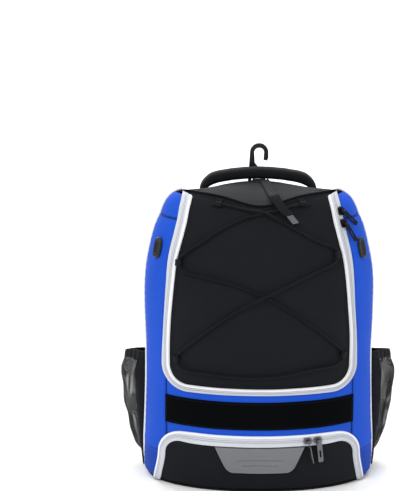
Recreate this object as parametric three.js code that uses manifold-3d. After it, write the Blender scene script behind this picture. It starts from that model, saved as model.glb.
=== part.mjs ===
// Baseball bat backpack: a standing two-compartment pack with bat pockets, in millimetres.
// X is to the right seen from the front, the front faces -Y, +Z is up, and the base rests on Z = 0.

import * as THREE from 'three';
import { mergeVertices } from 'three/addons/utils/BufferGeometryUtils.js';
import Module from 'manifold-3d';

const wasm = await Module();
wasm.setup();

// Body
const bodyHeight = 437;
const bodyHalfWidth = 172;
const frontDepth = 112;
const backDepth = 88;
const wall = 2.5;
const gap = 0.4;
const baseThickness = 4;
const flareDepth = 34;
const backRound = 8;
const topSag = 15;
const topSagHalfWidth = 45;
const hoodCrown = 8;
const backTopHalfWidth = 97;
const backTopHeight = 428;
const backTopDrop = 32;
const capSeamDrop = 37;
const capSeamHeight = bodyHeight - capSeamDrop;
const capTopDrop = 3;
const capTopHeight = bodyHeight - capTopDrop;

// Bands and trim on the front
const layerLift = 0.8;
const tapeThickness = 1.6;
const tuck = 1.5;
const zipBottomHeight = 155;
const zipCornerRadius = 32;
const zipEndDrop = 8;
const zipEndHeight = bodyHeight - zipEndDrop;
const zipBottomWidth = 12.5;
const zipSideWidth = 15;
const archTopHeight = 80;
const archCornerRadius = 30;
const archTopWidth = 19;
const archSideWidth = 10;
const stripLow = 98;
const stripHigh = 140;
const stripHalfWidth = 138;
const stripThickness = 2;
const pipingRadius = 1.9;
const badgeTopHalfWidth = 65;
const badgeBottomHalfWidth = 45;
const badgeLow = 32;
const badgeHigh = 67;
const badgeSeat = 0.9;
const badgeThickness = 3;
const badgeRelief = 1;
const eyeletHeight = 355;
const eyeletHalfLength = 15.5;
const eyeletHalfWidth = 10;
const eyeletThickness = 3;
const eyeletSeat = 0.1;

// Bat pockets and sleeves
const pocketLow = 8;
const pocketHigh = 186;
const pocketHem = 13;
const pocketWall = 2;
const pocketReach = 209;
const pocketClosing = 0.16;
const pocketSeam = 0.9;
const hemThickness = 3;
const sleeveLow = 338;
const sleeveHigh = 384;
const sleeveInset = 4;

// Handle, hook and straps at the top
const handleHalfSpan = 79;
const handleRise = 19;
const handleThickness = 10;
const handleWidth = 26;
const handleDepthPlace = 70;
const hookThickness = 6.5;
const hookLength = 62;
const hookFootDrop = 2;
const hookMouthRadius = 7.5;
const hookBar = 6.5;
const hookSlotHeight = 10;
const hookBaseHalfWidth = 17;
const hookTabWidth = 22;
const webbingThickness = 1.6;
const gloveStrapWidth = 14;

// Lacing
const cordRadius = 2;
const cordLift = 0.8;
const loopWidth = 10;
const loopWall = 1.5;
const loopTail = 8;
const loopClearance = 1.3;
const crossingLift = 4.8;
const lacingSteps = 90;

// Zip sliders and pulls
const sliderLength = 13;
const sliderWidth = 9;
const sliderThickness = 2.8;
const pinRadius = 0.9;
const pinClearance = 0.4;
const pinHeight = 3.2;
const earThickness = 1.2;
const earRim = 0.9;
const earGap = 4.2;
const eyeWall = 1.1;
const eyeLength = 3.4;
const pullThickness = 1.5;
const pullSetBack = 0.8;

// Back and harness
const padThickness = 9;
const padMargin = 16;
const padChannel = 22;
const padLow = 40;
const padHigh = 380;
const shoulderPadThickness = 12;
const shoulderPadWidth = 62;
const shoulderWebbingWidth = 25;
const buckleWidth = 36;
const buckleHeight = 26;
const buckleThickness = 5;

// Body sections from the floor up. z is a share of bodyHeight; half (piping), side (side panel behind the
// flare), zip (front zipper line) and arch (shoe zipper line) of bodyHalfWidth; depth of frontDepth.
const bodySections = [
  { z: 0.000, half: 0.972, depth: 0.930, side: 0.800, zip: 0.800, arch: 0.890 },
  { z: 0.030, half: 1.000, depth: 0.965, side: 0.803, zip: 0.800, arch: 0.872 },
  { z: 0.110, half: 0.998, depth: 0.990, side: 0.803, zip: 0.800, arch: 0.838 },
  { z: 0.270, half: 0.983, depth: 1.000, side: 0.800, zip: 0.800, arch: 0.838 },
  { z: 0.440, half: 0.977, depth: 1.000, side: 0.790, zip: 0.800, arch: 0.838 },
  { z: 0.600, half: 0.990, depth: 0.980, side: 0.762, zip: 0.804, arch: 0.838 },
  { z: 0.715, half: 0.983, depth: 0.940, side: 0.722, zip: 0.785, arch: 0.838 },
  { z: 0.790, half: 0.953, depth: 0.890, side: 0.682, zip: 0.762, arch: 0.838 },
  { z: 0.880, half: 0.895, depth: 0.800, side: 0.640, zip: 0.706, arch: 0.838 },
  { z: 0.915, half: 0.855, depth: 0.750, side: 0.625, zip: 0.683, arch: 0.838 },
  { z: 0.955, half: 0.814, depth: 0.680, side: 0.610, zip: 0.663, arch: 0.838 },
  { z: 0.975, half: 0.778, depth: 0.640, side: 0.600, zip: 0.650, arch: 0.838 },
  { z: 0.989, half: 0.735, depth: 0.608, side: 0.590, zip: 0.641, arch: 0.838 },
  { z: 1.000, half: 0.680, depth: 0.575, side: 0.580, zip: 0.634, arch: 0.838 },
];

// Soft dents (positive) and swells (negative) of the front. x and width are shares of bodyHalfWidth, z and
// height of bodyHeight, deep of frontDepth.
const frontDents = [
  { x: -0.42, z: 0.80, width: 0.22, height: 0.10, deep: 0.030 },
  { x: 0.45, z: 0.74, width: 0.20, height: 0.12, deep: 0.028 },
  { x: 0.05, z: 0.62, width: 0.45, height: 0.13, deep: -0.030 },
  { x: -0.30, z: 0.42, width: 0.26, height: 0.07, deep: 0.022 },
  { x: 0.35, z: 0.45, width: 0.24, height: 0.07, deep: 0.020 },
];

// Mesh pocket silhouette. z runs from the pocket's low edge to its hem, reach is a share of pocketReach.
const pocketSections = [
  { z: 0.00, reach: 0.835 },
  { z: 0.08, reach: 0.880 },
  { z: 0.27, reach: 0.935 },
  { z: 0.48, reach: 0.975 },
  { z: 0.66, reach: 0.992 },
  { z: 0.82, reach: 1.000 },
  { z: 0.90, reach: 0.968 },
  { z: 1.00, reach: 0.955 },
];

const smooth = (t) => {
  const held = Math.min(Math.max(t, 0), 1);
  return held * held * (3 - 2 * held);
};
const mix = THREE.MathUtils.lerp;

// Smooth reading of one column of a table at a value of its key column
function readTable(table, key, column, value) {
  const last = table.length - 1;
  const held = Math.min(Math.max(value, table[0][key]), table[last][key]);
  let row = 0;
  while (row < last - 1 && held > table[row + 1][key]) row += 1;
  const slopeAt = (index) => {
    const before = table[Math.max(index - 1, 0)];
    const after = table[Math.min(index + 1, last)];
    return (after[column] - before[column]) / (after[key] - before[key]);
  };
  const span = table[row + 1][key] - table[row][key];
  const t = (held - table[row][key]) / span;
  const [from, to] = [table[row][column], table[row + 1][column]];
  const rise = slopeAt(row) * span * t * (1 - t) * (1 - t);
  const fall = slopeAt(row + 1) * span * t * t * (t - 1);
  return mix(from, to, smooth(t)) + rise + fall;
}

const sectionAt = (column, z) => readTable(bodySections, 'z', column, z / bodyHeight);
const halfAt = (z) => bodyHalfWidth * sectionAt('half', z);
const depthAt = (z) => frontDepth * sectionAt('depth', z);
const sideAt = (z) => bodyHalfWidth * sectionAt('side', z);
const zipLineAt = (z) => bodyHalfWidth * sectionAt('zip', z);
const archLineAt = (z) => bodyHalfWidth * sectionAt('arch', z);

function dentAt(x, z) {
  let deep = 0;
  for (const dent of frontDents) {
    const across = (x / bodyHalfWidth - dent.x) / dent.width;
    const along = (z / bodyHeight - dent.z) / dent.height;
    deep += dent.deep * frontDepth * Math.exp(-across * across - along * along);
  }
  return deep;
}

// The front is a half ellipse at each height, from the piping round to the piping
function frontPoint(x, z) {
  const share = Math.min(Math.abs(x) / halfAt(z), 0.9995);
  return new THREE.Vector3(x, dentAt(x, z) - depthAt(z) * Math.sqrt(1 - share * share), z);
}

function frontNormal(x, z) {
  const step = 0.4;
  const across = frontPoint(x + step, z).sub(frontPoint(x - step, z));
  const upward = frontPoint(x, z + step).sub(frontPoint(x, z - step));
  return across.cross(upward).normalize();
}

const onFront = (x, z, lift) => frontPoint(x, z).addScaledVector(frontNormal(x, z), lift);

// The same surface by its angle round the body, for the stretch that turns to the piping
function turningPoint(side, angle, z) {
  const x = side * halfAt(z) * Math.sin(angle);
  return new THREE.Vector3(x, dentAt(x, z) - depthAt(z) * Math.cos(angle), z);
}

// The top edge of the front sags in the middle
const topEdgeAt = (x) => bodyHeight - topSag * Math.exp(-((x / topSagHalfWidth) ** 2));
const backTopAt = (x) => backTopHeight - backTopDrop * (Math.abs(x) / backTopHalfWidth) ** 2.5;

// Side panel: flares out to the piping at the front, rounds in at the back
function sideX(y, z) {
  const flare = (halfAt(z) - sideAt(z)) * (1 - smooth(y / flareDepth));
  const past = Math.max(y - (backDepth - backRound), 0) / backRound;
  return sideAt(z) + flare - backRound * past * past;
}

// Top panel between the front's top edge and the back panel's. Behind the piping its edges reach out over
// the flare of the side panels.
const pipingRoom = pipingRadius + gap;
const hoodEdgeStart = pipingRoom + 1.8;
function hoodPoint(u, v) {
  const frontX = (zipLineAt(bodyHeight) - gap) * u;
  const from = frontPoint(frontX, topEdgeAt(frontX));
  const lip = wall + 2 * gap;
  const backX = backTopHalfWidth * u;
  const crown = hoodCrown * (1 - 0.8 * u * u) * 4 * v * (1 - v);
  const x = mix(from.x, backX, v) + 6 * u * v * (1 - v);
  const y = mix(from.y, backDepth, v);
  const z = mix(from.z + lip, backTopAt(backX) + lip, v) + crown;
  const flareX = y > hoodEdgeStart ? sideX(y, z) : 0;
  const reach = Math.max(flareX - Math.abs(x), 0) * smooth((Math.abs(u) - 0.6) / 0.4);
  return new THREE.Vector3(x + Math.sign(u) * reach, y, z);
}

function sideTopAt(y) {
  const from = hoodPoint(1, 0).y;
  const v = Math.min(Math.max((y - from) / (backDepth - from), 0), 1);
  return hoodPoint(1, v).z - wall - 3 * gap;
}

// A zipper's line: level in the middle, a round corner, then the column of bodySections it follows
function cornerLine(level, radius, lineAt, end) {
  const up = Math.sign(end - level);
  const cornerZ = level + up * radius;
  const cornerX = lineAt(cornerZ) - radius;
  const arcLength = radius * Math.PI / 2;
  const total = cornerX + arcLength + Math.abs(end - cornerZ);
  return {
    at(t) {
      const side = Math.sign(t) || 1;
      const run = total * Math.abs(t);
      if (run <= cornerX) return { x: side * run, z: level };
      if (run <= cornerX + arcLength) {
        const angle = (run - cornerX) / radius;
        const x = cornerX + radius * Math.sin(angle);
        return { x: side * x, z: level + up * radius * (1 - Math.cos(angle)) };
      }
      const z = cornerZ + up * (run - cornerX - arcLength);
      return { x: side * lineAt(z), z };
    },
    levelAt(x) {
      const beyond = Math.min(Math.max(Math.abs(x) - cornerX, 0), radius);
      return level + up * (radius - Math.sqrt(radius * radius - beyond * beyond));
    },
    halfAt(z) {
      const inside = Math.min(Math.max(up * (cornerZ - z), 0), radius);
      if (inside === 0) return lineAt(z);
      return cornerX + Math.sqrt(radius * radius - inside * inside);
    },
    sideShare: (cornerX + arcLength) / total,
  };
}

const wallFoot = baseThickness + gap;
const zipLine = cornerLine(zipBottomHeight, zipCornerRadius, zipLineAt, zipEndHeight);
const archLine = cornerLine(archTopHeight, archCornerRadius, archLineAt, wallFoot);
const seamHalfWidth = zipLineAt(zipBottomHeight + zipCornerRadius);

// A geometry from its vertices and faces, turned so that its faces point out
function closedGeometry(points, faces) {
  let volume = 0;
  for (const [a, b, c] of faces) {
    volume += points[a].dot(new THREE.Vector3().crossVectors(points[b], points[c]));
  }
  const geometry = new THREE.BufferGeometry();
  const index = volume < 0 ? faces.flatMap(([a, b, c]) => [a, c, b]) : faces.flat();
  geometry.setAttribute('position', new THREE.Float32BufferAttribute(points.flatMap((p) => p.toArray()), 3));
  geometry.setIndex(index);
  return geometry;
}

const evenly = (count) => Array.from({ length: count + 1 }, (_, i) => i / count);
const asFunction = (value) => (typeof value === 'function' ? value : () => value);

// A sheet with thickness over a surface: outer and inner are distances along the surface's normal, which
// is taken to point to the same side as facing
function sheet({ point, columns, rows, outer, inner, facing }) {
  const us = Array.isArray(columns) ? columns : evenly(columns);
  const vs = Array.isArray(rows) ? rows : evenly(rows);
  const step = 1e-3;
  const normalAt = (u, v) => {
    const across = point(Math.min(u + step, 1), v).sub(point(Math.max(u - step, 0), v));
    const along = point(u, Math.min(v + step, 1)).sub(point(u, Math.max(v - step, 0)));
    return across.cross(along).normalize();
  };
  const sign = Math.sign(normalAt(0.5, 0.5).dot(facing));
  const [outerAt, innerAt] = [asFunction(outer), asFunction(inner)];
  const points = [];
  for (const distanceAt of [outerAt, innerAt]) {
    for (const v of vs) {
      for (const u of us) {
        points.push(point(u, v).addScaledVector(normalAt(u, v), sign * distanceAt(u, v)));
      }
    }
  }
  const [wide, high] = [us.length, vs.length];
  const layer = wide * high;
  const faces = [];
  const quad = (a, b, c, d) => faces.push([a, b, c], [a, c, d]);
  for (let row = 0; row < high - 1; row += 1) {
    for (let column = 0; column < wide - 1; column += 1) {
      const at = row * wide + column;
      quad(at, at + 1, at + wide + 1, at + wide);
      quad(layer + at, layer + at + wide, layer + at + wide + 1, layer + at + 1);
    }
  }
  for (let column = 0; column < wide - 1; column += 1) {
    const top = (high - 1) * wide + column;
    quad(column, layer + column, layer + column + 1, column + 1);
    quad(top, top + 1, layer + top + 1, layer + top);
  }
  for (let row = 0; row < high - 1; row += 1) {
    const [start, end] = [row * wide, row * wide + wide - 1];
    quad(start, start + wide, layer + start + wide, layer + start);
    quad(end, layer + end, layer + end + wide, end + wide);
  }
  return closedGeometry(points, faces);
}

// A flat strap along a list of places, each with its point, its direction across and its normal
function strap({ places, width, thickness, lift = 0 }) {
  const [widthAt, thicknessAt] = [asFunction(width), asFunction(thickness)];
  const points = [];
  places.forEach((place, index) => {
    const share = index / (places.length - 1);
    const half = widthAt(share) / 2;
    for (const [side, height] of [[-1, 0], [1, 0], [1, 1], [-1, 1]]) {
      points.push(place.point.clone()
        .addScaledVector(place.across, side * half)
        .addScaledVector(place.normal, lift + height * thicknessAt(share)));
    }
  });
  const faces = [[0, 1, 2], [0, 2, 3]];
  for (let index = 0; index < places.length - 1; index += 1) {
    for (let corner = 0; corner < 4; corner += 1) {
      const [a, b] = [index * 4 + corner, index * 4 + (corner + 1) % 4];
      faces.push([a, a + 4, b + 4], [a, b + 4, b]);
    }
  }
  const end = points.length - 4;
  faces.push([end, end + 2, end + 1], [end, end + 3, end + 2]);
  return closedGeometry(points, faces);
}

// Places along a smooth curve of points, with the strap's width along X
function placesAlong(points, steps) {
  const curve = new THREE.CatmullRomCurve3(points, false, 'centripetal');
  return evenly(steps).map((t) => {
    const tangent = curve.getTangentAt(t);
    const across = new THREE.Vector3(1, 0, 0).addScaledVector(tangent, -tangent.x).normalize();
    return { point: curve.getPointAt(t), across, normal: tangent.clone().cross(across).negate() };
  });
}

// A band that follows a line on the front
function frontBand({ lineAt, width, thickness, shares, columns = 2 }) {
  const widthAt = asFunction(width);
  return sheet({
    point(u, v) {
      const t = 2 * v - 1;
      const step = 1e-3;
      const from = lineAt(Math.max(t - step, -1));
      const to = lineAt(Math.min(t + step, 1));
      const middle = lineAt(t);
      const length = Math.hypot(to.x - from.x, to.z - from.z);
      const off = (u - 0.5) * widthAt(Math.abs(t));
      return frontPoint(middle.x - (to.z - from.z) / length * off, middle.z + (to.x - from.x) / length * off);
    },
    columns,
    rows: shares,
    outer: layerLift + thickness,
    inner: layerLift,
    facing: new THREE.Vector3(0, -1, 0),
  });
}

// Shares from 0 to 1 that crowd towards both ends
const crowdedToEnds = (count, power) => evenly(count).map((share) => {
  const t = 2 * share - 1;
  return (1 + Math.sign(t) * (1 - (1 - Math.abs(t)) ** power)) / 2;
});
const crowdedToEnd = (count, power) => evenly(count).map((t) => 1 - (1 - t) ** power);

function tube(route, radius, steps, sides) {
  const curve = Array.isArray(route) ? new THREE.CatmullRomCurve3(route, false, 'centripetal') : route;
  const circle = new THREE.Shape(evenly(sides).slice(0, sides).map((share) => (
    new THREE.Vector2(radius * Math.cos(share * 2 * Math.PI), radius * Math.sin(share * 2 * Math.PI))
  )));
  return new THREE.ExtrudeGeometry(circle, { steps, extrudePath: curve });
}

// Turns a geometry into a solid that can be joined or cut, and back
function toSolid(geometry) {
  const bare = geometry.clone();
  bare.deleteAttribute('normal');
  bare.deleteAttribute('uv');
  const merged = mergeVertices(bare, 1e-4);
  return new wasm.Manifold(new wasm.Mesh({
    numProp: 3,
    vertProperties: new Float32Array(merged.attributes.position.array),
    triVerts: new Uint32Array(merged.index.array),
  }));
}

function fromSolid(solid) {
  const mesh = solid.getMesh();
  const geometry = new THREE.BufferGeometry();
  geometry.setAttribute('position', new THREE.BufferAttribute(new Float32Array(mesh.vertProperties), 3));
  geometry.setIndex(new THREE.BufferAttribute(new Uint32Array(mesh.triVerts), 1));
  return geometry;
}

function extruded(shape, depth, curveSegments = 8) {
  return new THREE.ExtrudeGeometry(shape, { depth, bevelEnabled: false, curveSegments });
}

function roundedRectangle(width, height, radius) {
  const [x, y] = [width / 2, height / 2];
  const shape = new THREE.Shape();
  shape.moveTo(-x + radius, -y);
  shape.lineTo(x - radius, -y);
  shape.absarc(x - radius, -y + radius, radius, -Math.PI / 2, 0);
  shape.lineTo(x, y - radius);
  shape.absarc(x - radius, y - radius, radius, 0, Math.PI / 2);
  shape.lineTo(-x + radius, y);
  shape.absarc(-x + radius, y - radius, radius, Math.PI / 2, Math.PI);
  shape.lineTo(-x, -y + radius);
  shape.absarc(-x + radius, -y + radius, radius, Math.PI, Math.PI * 1.5);
  return shape;
}

const finishes = {
  blueFabric: { color: '#2a5ccb', roughness: 0.8, metalness: 0 },
  blackFabric: { color: '#1d1f23', roughness: 0.85, metalness: 0 },
  blackMesh: { color: '#17181b', roughness: 0.9, metalness: 0 },
  blackLoop: { color: '#0c0d10', roughness: 0.95, metalness: 0 },
  blackWebbing: { color: '#15161a', roughness: 0.8, metalness: 0 },
  whiteTape: { color: '#e4e6ea', roughness: 0.7, metalness: 0 },
  whitePiping: { color: '#eef0f2', roughness: 0.6, metalness: 0 },
  greyRubber: { color: '#92959a', roughness: 0.65, metalness: 0 },
  blackPlastic: { color: '#101114', roughness: 0.4, metalness: 0 },
  greyMetal: { color: '#56595e', roughness: 0.35, metalness: 0.9 },
};

const model = new THREE.Group();

function addPiece(name, geometry, finish) {
  const piece = new THREE.Mesh(geometry, new THREE.MeshStandardMaterial(finishes[finish]));
  piece.name = name;
  model.add(piece);
  return piece;
}

const toFront = new THREE.Vector3(0, -1, 0);
const toTop = new THREE.Vector3(0, 0, 1);
const sides = [{ name: 'left', side: -1 }, { name: 'right', side: 1 }];

// Front: black flap inside the zipper, blue panel under it, black flap of the shoe compartment
addPiece('front_flap', sheet({
  point(u, v) {
    const low = zipBottomHeight + tuck;
    const level = mix(low, bodyHeight, v);
    const x = (2 * u - 1) * (zipLine.halfAt(level) - tuck);
    return frontPoint(x, mix(low, topEdgeAt(x), v));
  },
  columns: 14,
  rows: crowdedToEnd(13, 1.6),
  outer: 0,
  inner: -wall,
  facing: toFront,
}), 'blackFabric');

addPiece('front_panel', sheet({
  point(u, v) {
    const x = (2 * u - 1) * (seamHalfWidth - gap);
    return frontPoint(x, mix(archLine.levelAt(x) + tuck, zipLine.levelAt(x) - tuck, v));
  },
  columns: crowdedToEnds(20, 1.2),
  rows: 4,
  outer: 0,
  inner: -wall,
  facing: toFront,
}), 'blueFabric');

addPiece('shoe_flap', sheet({
  point(u, v) {
    const level = mix(wallFoot, archTopHeight - tuck, v);
    return frontPoint((2 * u - 1) * (archLine.halfAt(level) - tuck), level);
  },
  columns: 14,
  rows: 3,
  outer: 0,
  inner: -wall,
  facing: toFront,
}), 'blackFabric');

// Blue gussets from the front seam round to the piping, with the shoulder caps above the cross seam
function gussetStart(z) {
  const atSeam = z < zipBottomHeight + zipCornerRadius ? seamHalfWidth + gap : 0;
  const overArch = z < archTopHeight ? archLine.halfAt(z) + tuck : 0;
  const overZip = z > zipBottomHeight ? zipLine.halfAt(z) + tuck : 0;
  return Math.asin(Math.max(atSeam, overArch, overZip) / halfAt(z));
}

function gussetSheet({ side, low, high, columns, rows }) {
  return sheet({
    point(u, v) {
      const z = mix(low, high, v);
      return turningPoint(side, mix(gussetStart(z), Math.PI / 2 - pipingRoom / depthAt(z), u), z);
    },
    columns,
    rows,
    outer: 0,
    inner: -wall,
    facing: new THREE.Vector3(side, -1, 0),
  });
}

for (const { name, side } of sides) {
  const gusset = { side, low: wallFoot, high: capSeamHeight, columns: 6, rows: 17 };
  addPiece(`gusset_${name}`, gussetSheet(gusset), 'blueFabric');
  const cap = { side, low: capSeamHeight + gap, high: capTopHeight, columns: 5, rows: crowdedToEnd(6, 1.5) };
  addPiece(`shoulder_cap_${name}`, gussetSheet(cap), 'blueFabric');

  const pipingPoints = evenly(14).map((t) => mix(wallFoot + pipingRadius, capTopHeight - 6, 1 - (1 - t) ** 1.4))
    .map((z) => new THREE.Vector3(side * halfAt(z), 0, z));
  const ridge = capTopHeight + pipingRadius + 2 * gap;
  for (const { back, rise } of [{ back: 0, rise: -2.5 }, { back: 0.04, rise: 0 }, { back: 0.17, rise: 0.8 }]) {
    const place = turningPoint(side, Math.PI / 2 - back, Math.min(ridge + rise, bodyHeight));
    pipingPoints.push(place.setZ(ridge + rise));
  }
  addPiece(`piping_${name}`, tube(pipingPoints, pipingRadius, 34, 6), 'whitePiping');

  addPiece(`side_panel_${name}`, sheet({
    point(u, v) {
      const y = mix(pipingRoom, backDepth - wall - gap, u);
      const z = mix(wallFoot, sideTopAt(y), v);
      return new THREE.Vector3(side * sideX(y, z), y, z);
    },
    columns: 8,
    rows: crowdedToEnd(9, 1.3),
    outer: 0,
    inner: -wall,
    facing: new THREE.Vector3(side, 0, 0),
  }), 'blackFabric');
}

// Zippers and the loop strip lie on the front
const zipWidthAt = (t) => mix(zipBottomWidth, zipSideWidth, smooth((t - 0.2) / (zipLine.sideShare - 0.2)));
addPiece('front_zipper', frontBand({
  lineAt: zipLine.at,
  width: zipWidthAt,
  thickness: tapeThickness,
  shares: crowdedToEnds(48, 1.35),
}), 'whiteTape');

const archWidthAt = (t) => mix(archTopWidth, archSideWidth, smooth((t - 0.45) / (archLine.sideShare - 0.45)));
addPiece('shoe_zipper', frontBand({
  lineAt: archLine.at,
  width: archWidthAt,
  thickness: tapeThickness,
  shares: crowdedToEnds(40, 1.2),
}), 'whiteTape');

addPiece('loop_strip', sheet({
  point: (u, v) => frontPoint((2 * u - 1) * stripHalfWidth, mix(stripLow, stripHigh, v)),
  columns: crowdedToEnds(20, 1.2),
  rows: 1,
  outer: layerLift + stripThickness,
  inner: layerLift,
  facing: toFront,
}), 'blackLoop');

// Badge: a moulded patch with a raised rim and two plain bars
const badgeColumns = [0, 0.03, 0.045, 0.22, 0.5, 0.78, 0.955, 0.97, 1];
const badgeRows = [0, 0.1, 0.15, 0.36, 0.4, 0.46, 0.62, 0.66, 0.72, 0.85, 0.9, 1];
function badgeHeightAt(u, v) {
  const onRim = Math.min(u, 1 - u) < 0.035 || Math.min(v, 1 - v) < 0.12;
  const onBar = Math.abs(u - 0.5) < 0.29 && (Math.abs(v - 0.43) < 0.04 || Math.abs(v - 0.69) < 0.04);
  return badgeSeat + badgeThickness + (onRim || onBar ? badgeRelief : 0);
}
addPiece('badge', sheet({
  point(u, v) {
    const half = mix(badgeBottomHalfWidth, badgeTopHalfWidth, v ** 0.8);
    return frontPoint((2 * u - 1) * half, mix(badgeLow, badgeHigh, v));
  },
  columns: badgeColumns,
  rows: badgeRows,
  outer: badgeHeightAt,
  inner: badgeSeat,
  facing: toFront,
}), 'greyRubber');

// Base, back and top
function baseOutline() {
  const shape = new THREE.Shape();
  const outline = evenly(24).map((share) => turningPoint(1, mix(-Math.PI / 2, Math.PI / 2, share), 0));
  for (const y of [8, 16, 24, flareDepth, backDepth - backRound, backDepth - backRound / 3, backDepth]) {
    outline.push(new THREE.Vector3(sideX(y, 0), y, 0));
    outline.unshift(new THREE.Vector3(-sideX(y, 0), y, 0));
  }
  shape.setFromPoints(outline.map((point) => new THREE.Vector2(point.x, point.y)));
  return shape;
}
addPiece('base_panel', extruded(baseOutline(), baseThickness), 'blackFabric');

addPiece('back_panel', sheet({
  point(u, v) {
    const edge = sideAt(mix(wallFoot, backTopAt(backTopHalfWidth), v)) - backRound;
    const x = (2 * u - 1) * edge;
    return new THREE.Vector3(x, backDepth, mix(wallFoot, backTopAt(x) - gap, v));
  },
  columns: 8,
  rows: 5,
  outer: 0,
  inner: -wall,
  facing: new THREE.Vector3(0, 1, 0),
}), 'blackFabric');

const hoodCornerY = hoodPoint(1, 0).y;
const hoodRows = [hoodEdgeStart - 0.5, hoodEdgeStart + 0.1, 12, 22, flareDepth, 52, 70].map((y) => (
  (y - hoodCornerY) / (backDepth - hoodCornerY)
));
addPiece('hood', sheet({
  point: (u, v) => hoodPoint(2 * u - 1, v),
  columns: [0, 0.06, 0.13, 0.22, 0.36, 0.5, 0.64, 0.78, 0.87, 0.94, 1],
  rows: [0, 0.1, ...hoodRows, 1],
  outer: 0,
  inner: -wall,
  facing: toTop,
}), 'blackFabric');

for (const { name, side } of sides) {
  addPiece(`back_pad_${name}`, sheet({
    point(u, v) {
      const z = mix(padLow, padHigh, v);
      const x = mix(padChannel / 2, sideAt(z) - backRound - padMargin, u);
      return new THREE.Vector3(side * x, backDepth + gap, z);
    },
    columns: [0, 0.08, 0.92, 1],
    rows: [0, 0.03, 0.97, 1],
    outer: (u, v) => padThickness * (Math.min(u, 1 - u, v, 1 - v) > 0 ? 1 : 0.45),
    inner: 0,
    facing: new THREE.Vector3(0, 1, 0),
  }), 'blackMesh');
}

// Mesh bat pockets: a sheet that bellies out from the piping to the back corner and closes at its foot
function pocketPoint(side, s, z) {
  const y = mix(pipingRoom + pocketSeam, backDepth - backRound, s);
  const rest = sideX(y, z) + pocketWall + 2 * gap;
  const share = (z - pocketLow) / (pocketHigh - pocketLow);
  const reach = pocketReach * readTable(pocketSections, 'z', 'reach', share);
  const foot = 1 - Math.min(share / pocketClosing, 1);
  const belly = Math.sin(Math.PI * s) ** 0.6 * Math.sqrt(Math.max(1 - foot * foot, 0));
  return new THREE.Vector3(side * mix(rest, Math.max(reach, rest), belly), y, z);
}

for (const { name, side } of sides) {
  const meshTop = pocketHigh - pocketHem - gap;
  const columns = [0, 0.04, 0.12, 0.24, 0.38, 0.52, 0.66, 0.79, 0.9, 0.96, 1];
  const facing = new THREE.Vector3(side, 0, 0);
  addPiece(`mesh_pocket_${name}`, sheet({
    point: (u, v) => pocketPoint(side, u, mix(pocketLow, meshTop, v ** 1.5)),
    columns,
    rows: 8,
    outer: 0,
    inner: -pocketWall,
    facing,
  }), 'blackMesh');
  addPiece(`pocket_hem_${name}`, sheet({
    point: (u, v) => pocketPoint(side, u, mix(pocketHigh - pocketHem, pocketHigh, v)),
    columns,
    rows: 1,
    outer: hemThickness - pocketWall,
    inner: -pocketWall,
    facing,
  }), 'blackWebbing');
  addPiece(`bat_sleeve_${name}`, sheet({
    point(u, v) {
      const y = mix(pipingRoom + 2, backDepth - backRound, u);
      const z = mix(sleeveLow, sleeveHigh, v);
      const rest = sideX(y, z) + webbingThickness + gap;
      const reach = halfAt(z) - sleeveInset;
      return new THREE.Vector3(side * mix(rest, Math.max(reach, rest), Math.sin(Math.PI * u) ** 0.5), y, z);
    },
    columns,
    rows: 2,
    outer: 0,
    inner: -webbingThickness,
    facing,
  }), 'blackWebbing');
}

// Eyelets: oval rings set on the gussets beside the front seam
for (const { name, side } of sides) {
  const angle = (gussetStart(eyeletHeight) + Math.PI / 2) / 2;
  const centre = turningPoint(side, angle, eyeletHeight);
  const normal = frontNormal(centre.x, centre.z);
  const oval = (shrink) => {
    const path = new THREE.Path();
    path.absellipse(0, 0, eyeletHalfWidth - shrink, eyeletHalfLength - shrink, 0, Math.PI * 2, false);
    return path;
  };
  const shape = new THREE.Shape(oval(0).getPoints(7));
  shape.holes.push(new THREE.Path(oval(4).getPoints(6)));
  const eyelet = addPiece(`eyelet_${name}`, extruded(shape, eyeletThickness), 'blackPlastic');
  const across = new THREE.Vector3().crossVectors(toTop, normal).normalize();
  const along = new THREE.Vector3().crossVectors(normal, across);
  eyelet.quaternion.setFromRotationMatrix(new THREE.Matrix4().makeBasis(across, along, normal));
  eyelet.position.copy(centre).addScaledVector(normal, eyeletSeat);
}

// Grab handle: a padded roll that arches over the back of the top panel
const hoodHeightAt = (x, y) => {
  const u = Math.min(Math.abs(x) / backTopHalfWidth, 1);
  const from = hoodPoint(u, 0).y;
  return hoodPoint(u, (y - from) / (backDepth - from)).z;
};
const handlePoints = [[1, 0], [0.97, 0.42], [0.84, 0.8], [0.6, 0.95], [0.3, 1]];
const handleInside = handleHalfSpan - 0.75 * handleThickness;
const handleFoot = hoodHeightAt(handleInside, handleDepthPlace - handleWidth / 2) + 2 * gap;
const handleArch = [...handlePoints, [0, 1], ...handlePoints.map(([x, z]) => [-x, z]).reverse()]
  .map(([x, z]) => {
    const under = bodyHeight + handleRise - handleThickness;
    return new THREE.Vector3(-x * handleHalfSpan, handleDepthPlace, mix(handleFoot, under, z));
  });
const handleCurve = new THREE.CatmullRomCurve3(handleArch, false, 'centripetal');
addPiece('grab_handle', strap({
  places: evenly(24).map((t) => {
    const tangent = handleCurve.getTangentAt(t);
    const across = new THREE.Vector3(0, 1, 0);
    return { point: handleCurve.getPointAt(t), across, normal: across.clone().cross(tangent).negate() };
  }),
  width: handleWidth,
  thickness: (share) => handleThickness * mix(0.5, 1, smooth(Math.min(share, 1 - share) / 0.12)),
}), 'blackWebbing');

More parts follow.
